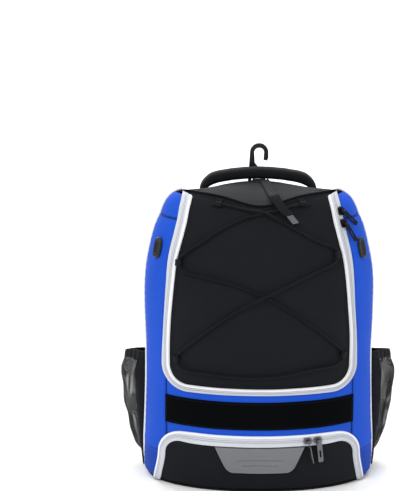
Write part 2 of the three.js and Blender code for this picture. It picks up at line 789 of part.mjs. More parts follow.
// Fence hook: a flat moulded hook on a slotted foot, held by a loop of webbing sewn to the back
const hookBack = backDepth + gap + webbingThickness + gap;
const hookCentreX = 2;
const hookFoot = backTopHeight - hookFootDrop;
const hookCentreZ = hookFoot + hookLength - hookMouthRadius - hookBar;
function hookShape() {
  const outerRadius = hookMouthRadius + hookBar;
  const tipZ = hookCentreZ - 11;
  const shape = new THREE.Shape();
  shape.moveTo(hookCentreX - hookBaseHalfWidth, hookFoot);
  shape.lineTo(hookCentreX + hookBaseHalfWidth, hookFoot);
  shape.lineTo(hookCentreX + hookBaseHalfWidth, hookFoot + hookBar / 2);
  shape.lineTo(hookCentreX - hookMouthRadius + 1, hookCentreZ - 16);
  shape.lineTo(hookCentreX - hookMouthRadius, hookCentreZ);
  shape.absarc(hookCentreX, hookCentreZ, hookMouthRadius, Math.PI, 0, true);
  shape.lineTo(hookCentreX + hookMouthRadius - 1, tipZ);
  shape.lineTo(hookCentreX + outerRadius - 2, tipZ - 1.5);
  shape.lineTo(hookCentreX + outerRadius, tipZ + 3);
  shape.lineTo(hookCentreX + outerRadius, hookCentreZ);
  shape.absarc(hookCentreX, hookCentreZ, outerRadius, 0, Math.PI, false);
  shape.lineTo(hookCentreX - outerRadius - 1, hookCentreZ - 16);
  shape.lineTo(hookCentreX - hookBaseHalfWidth, hookFoot + hookBar / 2);
  const slot = new THREE.Path();
  const slotHalf = hookTabWidth / 2 + 1;
  const slotFoot = hookFoot + hookBar * 0.75;
  slot.moveTo(hookCentreX - slotHalf, slotFoot);
  slot.lineTo(hookCentreX - slotHalf + 2, slotFoot + hookSlotHeight);
  slot.lineTo(hookCentreX - 4, slotFoot + hookSlotHeight);
  slot.lineTo(hookCentreX + slotHalf, slotFoot + hookSlotHeight * 0.35);
  slot.lineTo(hookCentreX + slotHalf, slotFoot);
  shape.holes.push(slot);
  return shape;
}
const hook = addPiece('fence_hook', extruded(hookShape(), hookThickness, 9), 'blackPlastic');
hook.rotation.x = Math.PI / 2;
hook.position.y = hookBack + hookThickness;

// A piece extruded along X from an outline in the YZ plane, centred on a place along X
function acrossX(shape, width, centreX) {
  const geometry = extruded(shape, width, 6);
  geometry.translate(0, 0, -width / 2);
  geometry.applyMatrix4(new THREE.Matrix4().makeBasis(
    new THREE.Vector3(0, 1, 0),
    new THREE.Vector3(0, 0, 1),
    new THREE.Vector3(1, 0, 0),
  ));
  geometry.translate(centreX, 0, 0);
  return geometry;
}

function hookTabShape() {
  const inner = { low: hookFoot - gap, high: hookFoot + hookBar * 0.75 + gap };
  const near = backDepth + gap;
  const far = hookBack + hookThickness + gap + webbingThickness;
  const shape = new THREE.Shape();
  shape.moveTo(near, inner.low - 34);
  shape.lineTo(near + 2 * webbingThickness, inner.low - 34);
  shape.lineTo(near + 2 * webbingThickness, inner.low - webbingThickness * 4);
  shape.lineTo(far, inner.low - webbingThickness);
  shape.lineTo(far, inner.high + webbingThickness);
  shape.lineTo(near, inner.high + webbingThickness);
  const hole = new THREE.Path();
  hole.moveTo(near + webbingThickness, inner.low);
  hole.lineTo(far - webbingThickness, inner.low);
  hole.lineTo(far - webbingThickness, inner.high);
  hole.lineTo(near + webbingThickness, inner.high);
  shape.holes.push(hole);
  return shape;
}
addPiece('hook_tab', acrossX(hookTabShape(), hookTabWidth - 2, hookCentreX), 'blackWebbing');

// Strap over the top panel and down the flap, with a stiff end. Its front places are shares of
// bodyHalfWidth and bodyHeight, and it passes over the lacing.
const cordSeat = cordLift + loopWall + loopClearance + cordRadius;
const strapRise = cordSeat + cordRadius + gap;
const gloveStrapOnHood = evenly(9).map((t) => ({ on: 'hood', u: mix(0.08, 0.2, t), v: mix(0.86, 0.03, t ** 0.8) }));
const gloveStrapOnFront = [
  { on: 'front', x: 0.175, z: 0.958 },
  { on: 'front', x: 0.2, z: 0.949 },
  { on: 'front', x: 0.235, z: 0.936 },
];
function gloveStrapPlace(place) {
  if (place.on === 'hood') {
    const step = 0.01;
    const across = hoodPoint(place.u + step, place.v).sub(hoodPoint(place.u - step, place.v)).normalize();
    const along = hoodPoint(place.u, place.v + step).sub(hoodPoint(place.u, Math.max(place.v - step, 0)));
    const normal = across.clone().cross(along).normalize();
    const lift = 2 * layerLift + strapRise * smooth(1 - place.v / 0.25);
    return { point: hoodPoint(place.u, place.v).addScaledVector(normal, lift), across, normal };
  }
  const [x, z] = [place.x * bodyHalfWidth, place.z * bodyHeight];
  const normal = frontNormal(x, z);
  const across = new THREE.Vector3(1, 0, 0.3).normalize();
  across.addScaledVector(normal, -across.dot(normal)).normalize();
  return { point: onFront(x, z, strapRise), across, normal };
}
const gloveStrapPlaces = [...gloveStrapOnHood, ...gloveStrapOnFront].map(gloveStrapPlace);
addPiece('glove_strap', strap({
  places: gloveStrapPlaces,
  width: gloveStrapWidth,
  thickness: webbingThickness,
}), 'blackWebbing');

const strapEndPlaces = [
  { on: 'front', x: 0.2366, z: 0.9352 },
  { on: 'front', x: 0.262, z: 0.923 },
  { on: 'front', x: 0.285, z: 0.912 },
].map(gloveStrapPlace);
addPiece('strap_end', strap({
  places: strapEndPlaces,
  width: gloveStrapWidth - 4,
  thickness: webbingThickness + 0.6,
}), 'greyMetal');

// Lacing: the cord's route over the flap as shares of bodyHalfWidth and bodyHeight, chosen by hand, with
// over at 1 where a strand passes over another
const lacingRoute = [
  { x: -0.405, z: 0.9680, over: 0 },
  { x: -0.345, z: 0.9715, over: 0 },
  { x: -0.270, z: 0.9680, over: 0 },
  { x: -0.120, z: 0.9570, over: 0 },
  { x: 0.030, z: 0.9460, over: 1 },
  { x: 0.170, z: 0.9200, over: 0 },
  { x: 0.340, z: 0.8830, over: 0 },
  { x: 0.500, z: 0.8480, over: 0 },
  { x: 0.600, z: 0.8310, over: 0 },
  { x: 0.630, z: 0.8190, over: 0 },
  { x: 0.630, z: 0.7910, over: 0 },
  { x: 0.600, z: 0.7780, over: 0 },
  { x: 0.470, z: 0.7570, over: 0 },
  { x: 0.220, z: 0.7160, over: 0 },
  { x: 0.030, z: 0.6820, over: 1 },
  { x: -0.180, z: 0.6380, over: 0 },
  { x: -0.430, z: 0.5650, over: 0 },
  { x: -0.630, z: 0.4920, over: 0 },
  { x: -0.685, z: 0.4670, over: 0 },
  { x: -0.685, z: 0.4390, over: 0 },
  { x: -0.630, z: 0.4210, over: 0 },
  { x: -0.430, z: 0.4130, over: 0 },
  { x: -0.140, z: 0.4070, over: 0 },
  { x: 0.140, z: 0.4120, over: 0 },
  { x: 0.420, z: 0.4270, over: 0 },
  { x: 0.630, z: 0.4390, over: 0 },
  { x: 0.685, z: 0.4550, over: 0 },
  { x: 0.685, z: 0.4830, over: 0 },
  { x: 0.630, z: 0.5050, over: 0 },
  { x: 0.480, z: 0.5610, over: 0 },
  { x: 0.270, z: 0.6250, over: 0 },
  { x: 0.030, z: 0.6820, over: 0 },
  { x: -0.250, z: 0.7220, over: 0 },
  { x: -0.520, z: 0.7420, over: 0 },
  { x: -0.630, z: 0.7510, over: 0 },
  { x: -0.665, z: 0.7650, over: 0 },
  { x: -0.665, z: 0.7930, over: 0 },
  { x: -0.630, z: 0.8070, over: 0 },
  { x: -0.500, z: 0.8460, over: 0 },
  { x: -0.300, z: 0.9000, over: 0 },
  { x: -0.120, z: 0.9330, over: 0 },
  { x: 0.030, z: 0.9460, over: 0 },
  { x: 0.150, z: 0.9560, over: 0 },
  { x: 0.260, z: 0.9660, over: 0 },
  { x: 0.345, z: 0.9715, over: 0 },
  { x: 0.405, z: 0.9680, over: 0 },
];
// Places of the sewn loops along the route, counted in its rows
const lacingLoopRows = [1, 9.5, 18.5, 26.5, 35.5, 44];

// Steps evenly between the route's points, so that short bends get as many as long spans
class LacingCurve extends THREE.CatmullRomCurve3 {
  getUtoTmapping(u) {
    return u;
  }
}
const lacingCurve = new LacingCurve(lacingRoute.map(({ x, z, over }) => (
  onFront(x * bodyHalfWidth, z * bodyHeight, cordSeat + over * crossingLift)
)), false, 'centripetal');
addPiece('lacing_cord', tube(lacingCurve, cordRadius, lacingSteps, 6), 'blackWebbing');

// One sewn loop: a flat tail on the flap and a ring round the cord, which passes along its width
function cordLoopGeometry() {
  const bore = cordRadius + loopClearance;
  const rim = bore + loopWall;
  const shape = new THREE.Shape();
  shape.moveTo(0, -rim);
  shape.lineTo(loopTail, -rim);
  shape.lineTo(loopTail, -rim + loopWall);
  shape.absarc(0, 0, rim, Math.asin(loopWall / rim - 1), Math.PI * 1.5, false);
  const hole = new THREE.Path();
  hole.absarc(0, 0, bore, 0, Math.PI * 2, true);
  shape.holes.push(hole);
  const geometry = extruded(shape, loopWidth, 4);
  geometry.translate(0, 0, -loopWidth / 2);
  return geometry;
}
const lacingMiddle = new THREE.Vector3(0, 0, 0.7 * bodyHeight);
lacingLoopRows.forEach((row, index) => {
  const share = row / (lacingRoute.length - 1);
  const place = lacingCurve.getPoint(share);
  const along = lacingCurve.getTangent(share);
  const normal = frontNormal(place.x, place.z);
  normal.addScaledVector(along, -normal.dot(along)).normalize();
  const outward = new THREE.Vector3().crossVectors(normal, along);
  if (outward.dot(place.clone().sub(lacingMiddle)) < 0) {
    outward.negate();
    along.negate();
  }
  const loop = addPiece(`cord_loop_${index + 1}`, cordLoopGeometry(), 'blackWebbing');
  loop.quaternion.setFromRotationMatrix(new THREE.Matrix4().makeBasis(outward, normal, along));
  loop.position.copy(place);
});

// Zip sliders with their pulls. turn is the pull's direction from straight down, towards +X.
const zipPulls = [
  { line: 'zip', share: 0.955, turn: 47, length: 34, width: 7, lean: 9, edgeOn: false },
  { line: 'zip', share: 0.912, turn: 29, length: 33, width: 7, lean: 8, edgeOn: false },
  { line: 'arch', share: 0.335, turn: 12, length: 35, width: 7, lean: 2, edgeOn: true },
  { line: 'arch', share: 0.405, turn: 8, length: 34, width: 8, lean: 4, edgeOn: false },
];
const eyeRadius = pinRadius + pinClearance + eyeWall;

function roundBar(radius, length, holeRadius = 0) {
  const shape = new THREE.Shape().absarc(0, 0, radius, 0, Math.PI * 2, false);
  if (holeRadius > 0) shape.holes.push(new THREE.Path().absarc(0, 0, holeRadius, 0, Math.PI * 2, true));
  const geometry = extruded(shape, length, 4);
  geometry.translate(0, 0, -length / 2);
  return geometry;
}

// In the slider's own frame X is the pin, Y runs down the pull and Z stands off the cloth, from the pin
function sliderGeometry(bodyTurn) {
  const floor = -pinHeight - sliderThickness;
  const body = extruded(roundedRectangle(sliderWidth, sliderLength, 3), sliderThickness, 2);
  body.rotateZ(bodyTurn);
  body.translate(0, 0, floor);
  const pinAxis = new THREE.Matrix4().makeRotationY(Math.PI / 2);
  const pin = roundBar(pinRadius, earGap + earThickness).applyMatrix4(pinAxis);
  let solid = toSolid(body).add(toSolid(pin));
  for (const side of [-1, 1]) {
    const rise = pinHeight + sliderThickness / 2 + pinRadius + earRim;
    const ear = new THREE.BoxGeometry(earThickness, 2 * (pinRadius + earRim), rise);
    ear.translate(side * (earGap + earThickness) / 2, 0, pinRadius + earRim - rise / 2);
    solid = solid.add(toSolid(ear));
  }
  return fromSolid(solid);
}

function pullGeometry({ length, width, edgeOn }) {
  const start = edgeOn ? sliderLength / 2 + 1 : eyeRadius + pullSetBack;
  const plate = extruded(roundedRectangle(width, length - start, 2.4), pullThickness, 2);
  const window = extruded(roundedRectangle(width * 0.36, length * 0.34, 1), pullThickness + 2, 1);
  window.translate(0, length * 0.06, -1);
  let blade = toSolid(plate).subtract(toSolid(window));
  blade = blade.translate([0, (length + start) / 2, -pullThickness / 2]);
  if (edgeOn) blade = blade.rotate([0, 90, 0]);
  const pinAxis = new THREE.Matrix4().makeRotationY(Math.PI / 2);
  const eye = toSolid(roundBar(eyeRadius, eyeLength).applyMatrix4(pinAxis));
  const neckLength = start + 1.4;
  const neck = toSolid(new THREE.BoxGeometry(eyeLength * (edgeOn ? 0.5 : 1), neckLength, pullThickness)
    .translate(0, neckLength / 2 + 0.6, 0));
  const bore = toSolid(roundBar(pinRadius + pinClearance, eyeLength + 2).applyMatrix4(pinAxis));
  return fromSolid(blade.add(eye).add(neck).subtract(bore));
}

zipPulls.forEach((pull, index) => {
  const line = pull.line === 'zip' ? zipLine : archLine;
  const at = line.at(pull.share);
  const next = line.at(pull.share + 0.01);
  const normal = frontNormal(at.x, at.z);
  const down = new THREE.Vector3(0, 0, -1);
  down.addScaledVector(normal, -down.dot(normal)).normalize();
  down.applyAxisAngle(normal, THREE.MathUtils.degToRad(pull.turn));
  const pin = new THREE.Vector3().crossVectors(down, normal);
  const along = frontPoint(next.x, next.z).sub(frontPoint(at.x, at.z)).normalize();
  const bodyTurn = Math.atan2(-along.dot(pin), along.dot(down));
  const frame = new THREE.Group();
  const seat = layerLift + tapeThickness + gap + sliderThickness + pinHeight;
  frame.position.copy(onFront(at.x, at.z, seat));
  frame.quaternion.setFromRotationMatrix(new THREE.Matrix4().makeBasis(pin, down, normal));
  model.add(frame);
  frame.add(addPiece(`zip_slider_${index + 1}`, sliderGeometry(bodyTurn), 'greyMetal'));
  const tab = addPiece(`zip_pull_${index + 1}`, pullGeometry(pull), 'greyMetal');
  tab.rotation.x = -THREE.MathUtils.degToRad(pull.lean);
  frame.add(tab);
});

// Harness: padded straps from the back's top, webbing to the lower corners, and a ladder buckle between.
// across is a share of the back's half width there, out of the strap's reach off the back, z of bodyHeight.
const harnessReach = 34;
const padRoute = [
  { across: 0.40, out: 0.10, z: 0.925 },
  { across: 0.41, out: 0.52, z: 0.930 },
  { across: 0.44, out: 0.86, z: 0.885 },
  { across: 0.50, out: 1.00, z: 0.800 },
  { across: 0.56, out: 1.00, z: 0.690 },
  { across: 0.61, out: 0.92, z: 0.560 },
  { across: 0.65, out: 0.72, z: 0.450 },
  { across: 0.68, out: 0.60, z: 0.385 },
];
const webbingRoute = [
  { across: 0.70, out: 0.60, z: 0.355 },
  { across: 0.73, out: 0.62, z: 0.290 },
  { across: 0.78, out: 0.58, z: 0.200 },
  { across: 0.84, out: 0.36, z: 0.110 },
  { across: 0.87, out: 0.13, z: 0.062 },
  { across: 0.88, out: 0.023, z: 0.040 },
];
const harnessPoint = (side) => ({ across, out, z }) => new THREE.Vector3(
  side * across * (sideAt(z * bodyHeight) - backRound),
  backDepth + out * harnessReach,
  z * bodyHeight,
);
for (const { name, side } of sides) {
  const padPlaces = placesAlong(padRoute.map(harnessPoint(side)), 16);
  addPiece(`shoulder_pad_${name}`, strap({
    places: padPlaces,
    width: (share) => shoulderPadWidth * mix(1, 0.62, smooth((share - 0.72) / 0.28)),
    thickness: (share) => shoulderPadThickness * mix(0.35, 1, smooth(Math.min(share, 1 - share) / 0.12)),
  }), 'blackFabric');
  const webbingPlaces = placesAlong(webbingRoute.map(harnessPoint(side)), 12);
  addPiece(`shoulder_webbing_${name}`, strap({
    places: webbingPlaces,
    width: shoulderWebbingWidth,
    thickness: webbingThickness,
  }), 'blackWebbing');

  const start = padPlaces[padPlaces.length - 1];
  const end = webbingPlaces[0];
  const buckle = roundedRectangle(buckleWidth, buckleHeight, 3);
  for (const place of [-1, 1]) {
    const [reach, low] = [shoulderWebbingWidth / 2 + 1, place * buckleHeight * 0.22 - 2.5];
    buckle.holes.push(new THREE.Path([[-reach, low], [reach, low], [reach, low + 5], [-reach, low + 5]].map(
      ([x, y]) => new THREE.Vector2(x, y),
    )));
  }
  const piece = addPiece(`ladder_buckle_${name}`, extruded(buckle, buckleThickness, 2), 'blackPlastic');
  const down = end.point.clone().sub(start.point).normalize();
  const across = start.across.clone().addScaledVector(down, -start.across.dot(down)).normalize();
  const outward = new THREE.Vector3().crossVectors(down, across);
  if (outward.y < 0) outward.negate();
  const upward = new THREE.Vector3().crossVectors(outward, across);
  piece.quaternion.setFromRotationMatrix(new THREE.Matrix4().makeBasis(across, upward, outward));
  piece.position.copy(start.point).lerp(end.point, 0.5)
    .addScaledVector(outward, shoulderPadThickness * 0.35 + 2 * webbingThickness + gap);
}

export default model;
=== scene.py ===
# Baseball bat backpack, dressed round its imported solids. Shapes are worked out in millimetres and put into
# meshes in metres. X is to the right seen from the front, the front faces -Y, Z is up.
import math
import bpy
import numpy as np
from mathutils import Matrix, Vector


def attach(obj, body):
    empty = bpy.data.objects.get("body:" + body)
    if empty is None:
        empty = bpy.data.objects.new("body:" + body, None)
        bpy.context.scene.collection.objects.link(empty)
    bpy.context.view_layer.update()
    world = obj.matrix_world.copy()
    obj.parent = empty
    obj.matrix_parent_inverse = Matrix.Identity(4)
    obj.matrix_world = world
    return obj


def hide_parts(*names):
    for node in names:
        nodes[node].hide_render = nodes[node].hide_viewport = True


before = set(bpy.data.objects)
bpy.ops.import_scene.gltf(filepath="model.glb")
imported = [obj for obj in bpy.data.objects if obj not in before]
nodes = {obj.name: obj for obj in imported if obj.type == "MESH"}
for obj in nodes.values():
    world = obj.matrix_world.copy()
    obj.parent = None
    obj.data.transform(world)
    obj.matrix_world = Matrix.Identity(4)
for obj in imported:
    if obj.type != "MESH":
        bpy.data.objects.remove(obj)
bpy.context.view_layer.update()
print("frame loaded:", len(nodes), "nodes")

# ---- camera: looks along +Y from a little above, with the bag in the lower right of the picture
view = dict(target=(-0.08775, 0.0, 0.3500), distance=3.2, elevation=12.5, lens=157.8)
cameraData = bpy.data.cameras.new("camera")
cameraData.lens = view["lens"] * view["distance"] / 3.2
cameraData.sensor_width = 36.0
camera = bpy.data.objects.new("camera", cameraData)
bpy.context.scene.collection.objects.link(camera)
tilt = math.radians(view["elevation"])
towards = Vector((0.0, -math.cos(tilt), math.sin(tilt)))
camera.location = Vector(view["target"]) + towards * view["distance"]
camera.rotation_euler = (math.radians(90) - tilt, 0.0, 0.0)
cameraData.clip_start, cameraData.clip_end = 0.05, 60.0
bpy.context.scene.camera = camera

# ---- the body's own surface, as in the solids
body = dict(height=437, half=172, depth=112, back=88, wall=2.5, gap=0.4, floor=4.4, flare=34, backRound=8,
            topSag=15, sagHalf=45, hoodCrown=8, backTopHalf=97, backTop=428, backDrop=32,
            capSeam=400, capTop=434, piping=1.9)
# share of the height, then half width, depth, side panel, zipper and arch as shares of the widest
sections = np.array([
    (0.000, 0.972, 0.930, 0.800, 0.800, 0.890), (0.030, 1.000, 0.965, 0.803, 0.800, 0.872),
    (0.110, 0.998, 0.990, 0.803, 0.800, 0.838), (0.270, 0.983, 1.000, 0.800, 0.800, 0.838),
    (0.440, 0.977, 1.000, 0.790, 0.800, 0.838), (0.600, 0.990, 0.980, 0.762, 0.804, 0.838),
    (0.715, 0.983, 0.940, 0.722, 0.785, 0.838), (0.790, 0.953, 0.890, 0.682, 0.762, 0.838),
    (0.880, 0.895, 0.800, 0.640, 0.706, 0.838), (0.915, 0.855, 0.750, 0.625, 0.683, 0.838),
    (0.955, 0.814, 0.680, 0.610, 0.663, 0.838), (0.975, 0.778, 0.640, 0.600, 0.650, 0.838),
    (0.989, 0.735, 0.608, 0.590, 0.641, 0.838), (1.000, 0.680, 0.575, 0.580, 0.634, 0.838),
])
# x, z, width, height and depth of the front's soft dents, as shares
dents = np.array([
    (-0.42, 0.80, 0.22, 0.10, 0.030), (0.45, 0.74, 0.20, 0.12, 0.028), (0.05, 0.62, 0.45, 0.13, -0.030),
    (-0.30, 0.42, 0.26, 0.07, 0.022), (0.35, 0.45, 0.24, 0.07, 0.020),
])


def smooth(t):
    held = np.clip(t, 0, 1)
    return held * held * (3 - 2 * held)


def mix(a, b, t):
    return a + (b - a) * t


def readTable(table, column, value):
    # a cubic between rows, with each row's slope taken from its two neighbours
    keys = table[:, 0]
    last = len(keys) - 1
    held = np.clip(value, keys[0], keys[-1])
    row = np.clip(np.searchsorted(keys, held, side="left") - 1, 0, last - 1)
    index = np.arange(len(keys))
    before, after = np.maximum(index - 1, 0), np.minimum(index + 1, last)
    slopes = (table[after, column] - table[before, column]) / (keys[after] - keys[before])
    span = keys[row + 1] - keys[row]
    t = (held - keys[row]) / span
    rise = slopes[row] * span * t * (1 - t) ** 2
    fall = slopes[row + 1] * span * t * t * (t - 1)
    return mix(table[row, column], table[row + 1, column], smooth(t)) + rise + fall


def halfAt(z): return body["half"] * readTable(sections, 1, z / body["height"])
def depthAt(z): return body["depth"] * readTable(sections, 2, z / body["height"])
def sideAt(z): return body["half"] * readTable(sections, 3, z / body["height"])
def zipLineAt(z): return body["half"] * readTable(sections, 4, z / body["height"]) - 4.0 * smooth((z - 195) / 90)
def archLineAt(z): return body["half"] * readTable(sections, 5, z / body["height"])


def dentAt(x, z):
    across = (x[..., None] / body["half"] - dents[:, 0]) / dents[:, 2]
    along = (z[..., None] / body["height"] - dents[:, 1]) / dents[:, 3]
    return (dents[:, 4] * body["depth"] * np.exp(-across ** 2 - along ** 2)).sum(-1)


def stack(*parts):
    return np.stack(np.broadcast_arrays(*[np.asarray(p, float) for p in parts]), -1)


def frontPoint(x, z):
    # half an ellipse at each height, from the piping round to the piping, less the dents
    x, z = np.broadcast_arrays(np.asarray(x, float), np.asarray(z, float))
    share = np.minimum(np.abs(x) / halfAt(z), 0.9995)
    return stack(x, dentAt(x, z) - depthAt(z) * np.sqrt(1 - share ** 2), z)


def turningPoint(side, angle, z):
    # the same ellipse by its angle from the middle of the front
    angle, z = np.broadcast_arrays(np.asarray(angle, float), np.asarray(z, float))
    x = side * halfAt(z) * np.sin(angle)
    return stack(x, dentAt(x, z) - depthAt(z) * np.cos(angle), z)


def unit(v):
    return v / np.maximum(np.linalg.norm(v, axis=-1, keepdims=True), 1e-12)


def frontNormal(x, z, step=0.4):
    x, z = np.asarray(x, float), np.asarray(z, float)
    across = frontPoint(x + step, z) - frontPoint(x - step, z)
    upward = frontPoint(x, z + step) - frontPoint(x, z - step)
    return unit(np.cross(across, upward))


# Soft unevenness of the filled front, shared by every piece on it: x, z, turn in degrees, half length, half
# width and height of each long swell
swells = np.array([
    (-96, 196, 52, 60, 13, 0.9), (-70, 182, 30, 55, 10, -0.8), (92, 200, -48, 62, 14, 0.9),
    (66, 184, -26, 50, 10, -0.7), (-104, 300, 82, 80, 12, 0.8), (104, 290, -84, 80, 13, 0.8),
    (-40, 360, 70, 60, 15, -0.8), (48, 350, -66, 60, 15, -0.8), (0, 232, 4, 90, 12, 0.7),
    (-86, 390, 60, 34, 9, 0.9), (90, 388, -60, 34, 9, 0.9), (-20, 30, 3, 90, 12, 0.7),
    (-110, 44, 40, 34, 10, 0.8), (112, 46, -42, 34, 10, 0.8), (30, 20, -4, 80, 9, -0.6),
])


def softAt(x, z):
    turn = np.radians(swells[:, 2])
    dx, dz = x[..., None] - swells[:, 0], z[..., None] - swells[:, 1]
    along = dx * np.cos(turn) + dz * np.sin(turn)
    across = dz * np.cos(turn) - dx * np.sin(turn)
    ridges = (swells[:, 5] * np.exp(-(along / swells[:, 3]) ** 2 - (across / swells[:, 4]) ** 2)).sum(-1)
    ripple = np.sin(x / 17 + z / 31) * np.sin(z / 23 - x / 41) * 0.35
    return ridges + ripple


def onFront(x, z, lift):
    x, z = np.broadcast_arrays(np.asarray(x, float), np.asarray(z, float))
    return frontPoint(x, z) + frontNormal(x, z) * (lift + softAt(x, z))[..., None]


def topEdgeAt(x): return body["height"] - body["topSag"] * np.exp(-(x / body["sagHalf"]) ** 2)
def backTopAt(x): return body["backTop"] - body["backDrop"] * (np.abs(x) / body["backTopHalf"]) ** 2.5


def sideX(y, z):
    # flares out to the piping at the front and rounds in at the back
    flare = (halfAt(z) - sideAt(z)) * (1 - smooth(y / body["flare"]))
    past = np.maximum(y - (body["back"] - body["backRound"]), 0) / body["backRound"]
    return sideAt(z) + flare - body["backRound"] * past ** 2


class CornerLine:
    # level in the middle, a round corner, then a line at the sides
    def __init__(self, level, radius, lineAt, end):
        self.level, self.radius, self.lineAt = level, radius, lineAt
        self.up = 1 if end > level else -1
        self.cornerZ = level + self.up * radius
        self.cornerX = float(lineAt(np.array(float(self.cornerZ)))) - radius
        self.arc = radius * math.pi / 2
        self.total = self.cornerX + self.arc + abs(end - self.cornerZ)
        self.sideShare = (self.cornerX + self.arc) / self.total

    def at(self, t):
        side, run = np.where(t < 0, -1.0, 1.0), self.total * np.abs(t)
        angle = np.clip((run - self.cornerX) / self.radius, 0, math.pi / 2)
        z = np.where(run <= self.cornerX + self.arc,
                     self.level + self.up * self.radius * (1 - np.cos(angle)),
                     self.cornerZ + self.up * (run - self.cornerX - self.arc))
        x = np.where(run <= self.cornerX, run, self.cornerX + self.radius * np.sin(angle))
        return side * np.where(run <= self.cornerX + self.arc, x, self.lineAt(z)), z

    def levelAt(self, x):
        beyond = np.clip(np.abs(x) - self.cornerX, 0, self.radius)
        return self.level + self.up * (self.radius - np.sqrt(self.radius ** 2 - beyond ** 2))

    def halfAt(self, z):
        inside = np.clip(self.up * (self.cornerZ - z), 0, self.radius)
        return np.where(inside == 0, self.lineAt(z), self.cornerX + np.sqrt(self.radius ** 2 - inside ** 2))


zipLine = CornerLine(155, 32, zipLineAt, 434.5)
archLine = CornerLine(80, 30, archLineAt, body["floor"])
seamHalf = float(zipLineAt(np.array(187.0)))
pipingRoom = body["piping"] + body["gap"]


def gussetStart(z, tuck=0.6):
    atSeam = np.where(z < 187, seamHalf + body["gap"], 0)
    overArch = np.where(z < 80, archLine.halfAt(z) + tuck, 0)
    overZip = np.where(z > 155, zipLine.halfAt(z) + tuck, 0)
    return np.arcsin(np.clip(np.maximum(np.maximum(atSeam, overArch), overZip) / halfAt(z), 0, 0.99))


def hoodPoint(u, v):
    # straight from the front's top edge to the back panel's, with a crown; its edges reach over the flare
    u, v = np.broadcast_arrays(np.asarray(u, float), np.asarray(v, float))
    frontX = (body["half"] * sections[-1, 4] - body["gap"]) * u
    start = frontPoint(frontX, topEdgeAt(frontX))
    lip = body["wall"] + 2 * body["gap"]
    backX = body["backTopHalf"] * u
    crown = body["hoodCrown"] * (1 - 0.8 * u * u) * 4 * v * (1 - v)
    x = mix(start[..., 0], backX, v) + 6 * u * v * (1 - v)
    y = mix(start[..., 1], body["back"], v)
    z = mix(start[..., 2] + lip, backTopAt(backX) + lip, v) + crown
    capReach = halfAt(434.0) * np.sqrt(np.clip(1 - (y / depthAt(434.0)) ** 2, 0.01, 1)) - 3.4
    flareX = np.where(y > 1.0, sideX(y, z) - 0.5, np.where(y > -26, capReach, 0))
    reach = np.maximum(flareX - np.abs(x), 0) * smooth((np.abs(u) - 0.6) / 0.4)
    return stack(x + np.sign(u) * reach, y, z)


def sideTopAt(y):
    start = hoodPoint(1.0, 0.0)[1]
    v = np.clip((y - start) / (body["back"] - start), 0, 1)
    return hoodPoint(1.0, v)[..., 2] - body["wall"] - 3 * body["gap"]


print("surface ready")


# ---- shader nodes
def addNode(tree, kind, inputs=None, **settings):
    made = tree.nodes.new(kind)
    for key, value in settings.items():
        setattr(made, key, value)
    for key, value in (inputs or {}).items():
        socket = made.inputs[key]
        if isinstance(value, bpy.types.NodeSocket):
            tree.links.new(value, socket)
        else:
            socket.default_value = value
    return made


def maths(tree, operation, a, b=0.0, clamp=False):
    return addNode(tree, "ShaderNodeMath", {0: a, 1: b}, operation=operation, use_clamp=clamp).outputs[0]


def newGroup(name, inputs, outputs):
    group = bpy.data.node_groups.new(name, "ShaderNodeTree")
    for label, kind in inputs:
        group.interface.new_socket(label, in_out="INPUT", socket_type=kind)
    for label, kind in outputs:
        group.interface.new_socket(label, in_out="OUTPUT", socket_type=kind)
    return group, group.nodes.new("NodeGroupInput").outputs, group.nodes.new("NodeGroupOutput")


def makeWeave():
    # bumps where threads cross over, on a map in metres, with threads that differ a little in tone
    tree, given, out = newGroup("weave", [("Map", "NodeSocketVector"), ("Thread", "NodeSocketFloat")],
                                [("Height", "NodeSocketFloat"), ("Tone", "NodeSocketFloat")])
    scaled = addNode(tree, "ShaderNodeVectorMath", {0: given["Map"], "Scale": maths(tree, "DIVIDE", 1.0, given["Thread"])},
                     operation="SCALE").outputs[0]
    parts = addNode(tree, "ShaderNodeSeparateXYZ", {0: scaled})
    waves = [maths(tree, "SINE", maths(tree, "MULTIPLY", parts.outputs[i], math.pi)) for i in (0, 1)]
    crossing = maths(tree, "MULTIPLY", *waves)
    tree.links.new(maths(tree, "MULTIPLY_ADD", crossing, 0.5), out.inputs["Height"])
    warp = addNode(tree, "ShaderNodeMapping", {"Vector": scaled, "Scale": (1.0, 0.04, 1.0)}).outputs[0]
    weft = addNode(tree, "ShaderNodeMapping", {"Vector": scaled, "Scale": (0.04, 1.0, 1.0)}).outputs[0]
    tones = [addNode(tree, "ShaderNodeTexNoise", {"Vector": v, "Scale": 1.0, "Detail": 1.0}).outputs[0]
             for v in (warp, weft)]
    tree.links.new(maths(tree, "MULTIPLY", maths(tree, "ADD", *tones), 0.5), out.inputs["Tone"])
    return tree


def makeClouding():
    # wide soft patches and small specks, as handling and light dust leave on cloth
    tree, given, out = newGroup("clouding", [("Place", "NodeSocketVector")],
                                [("Wide", "NodeSocketFloat"), ("Fine", "NodeSocketFloat")])
    for label, scale, detail in (("Wide", 14.0, 3.0), ("Fine", 420.0, 2.0)):
        noise = addNode(tree, "ShaderNodeTexNoise", {"Vector": given["Place"], "Scale": scale, "Detail": detail})
        tree.links.new(noise.outputs[0], out.inputs[label])
    return tree


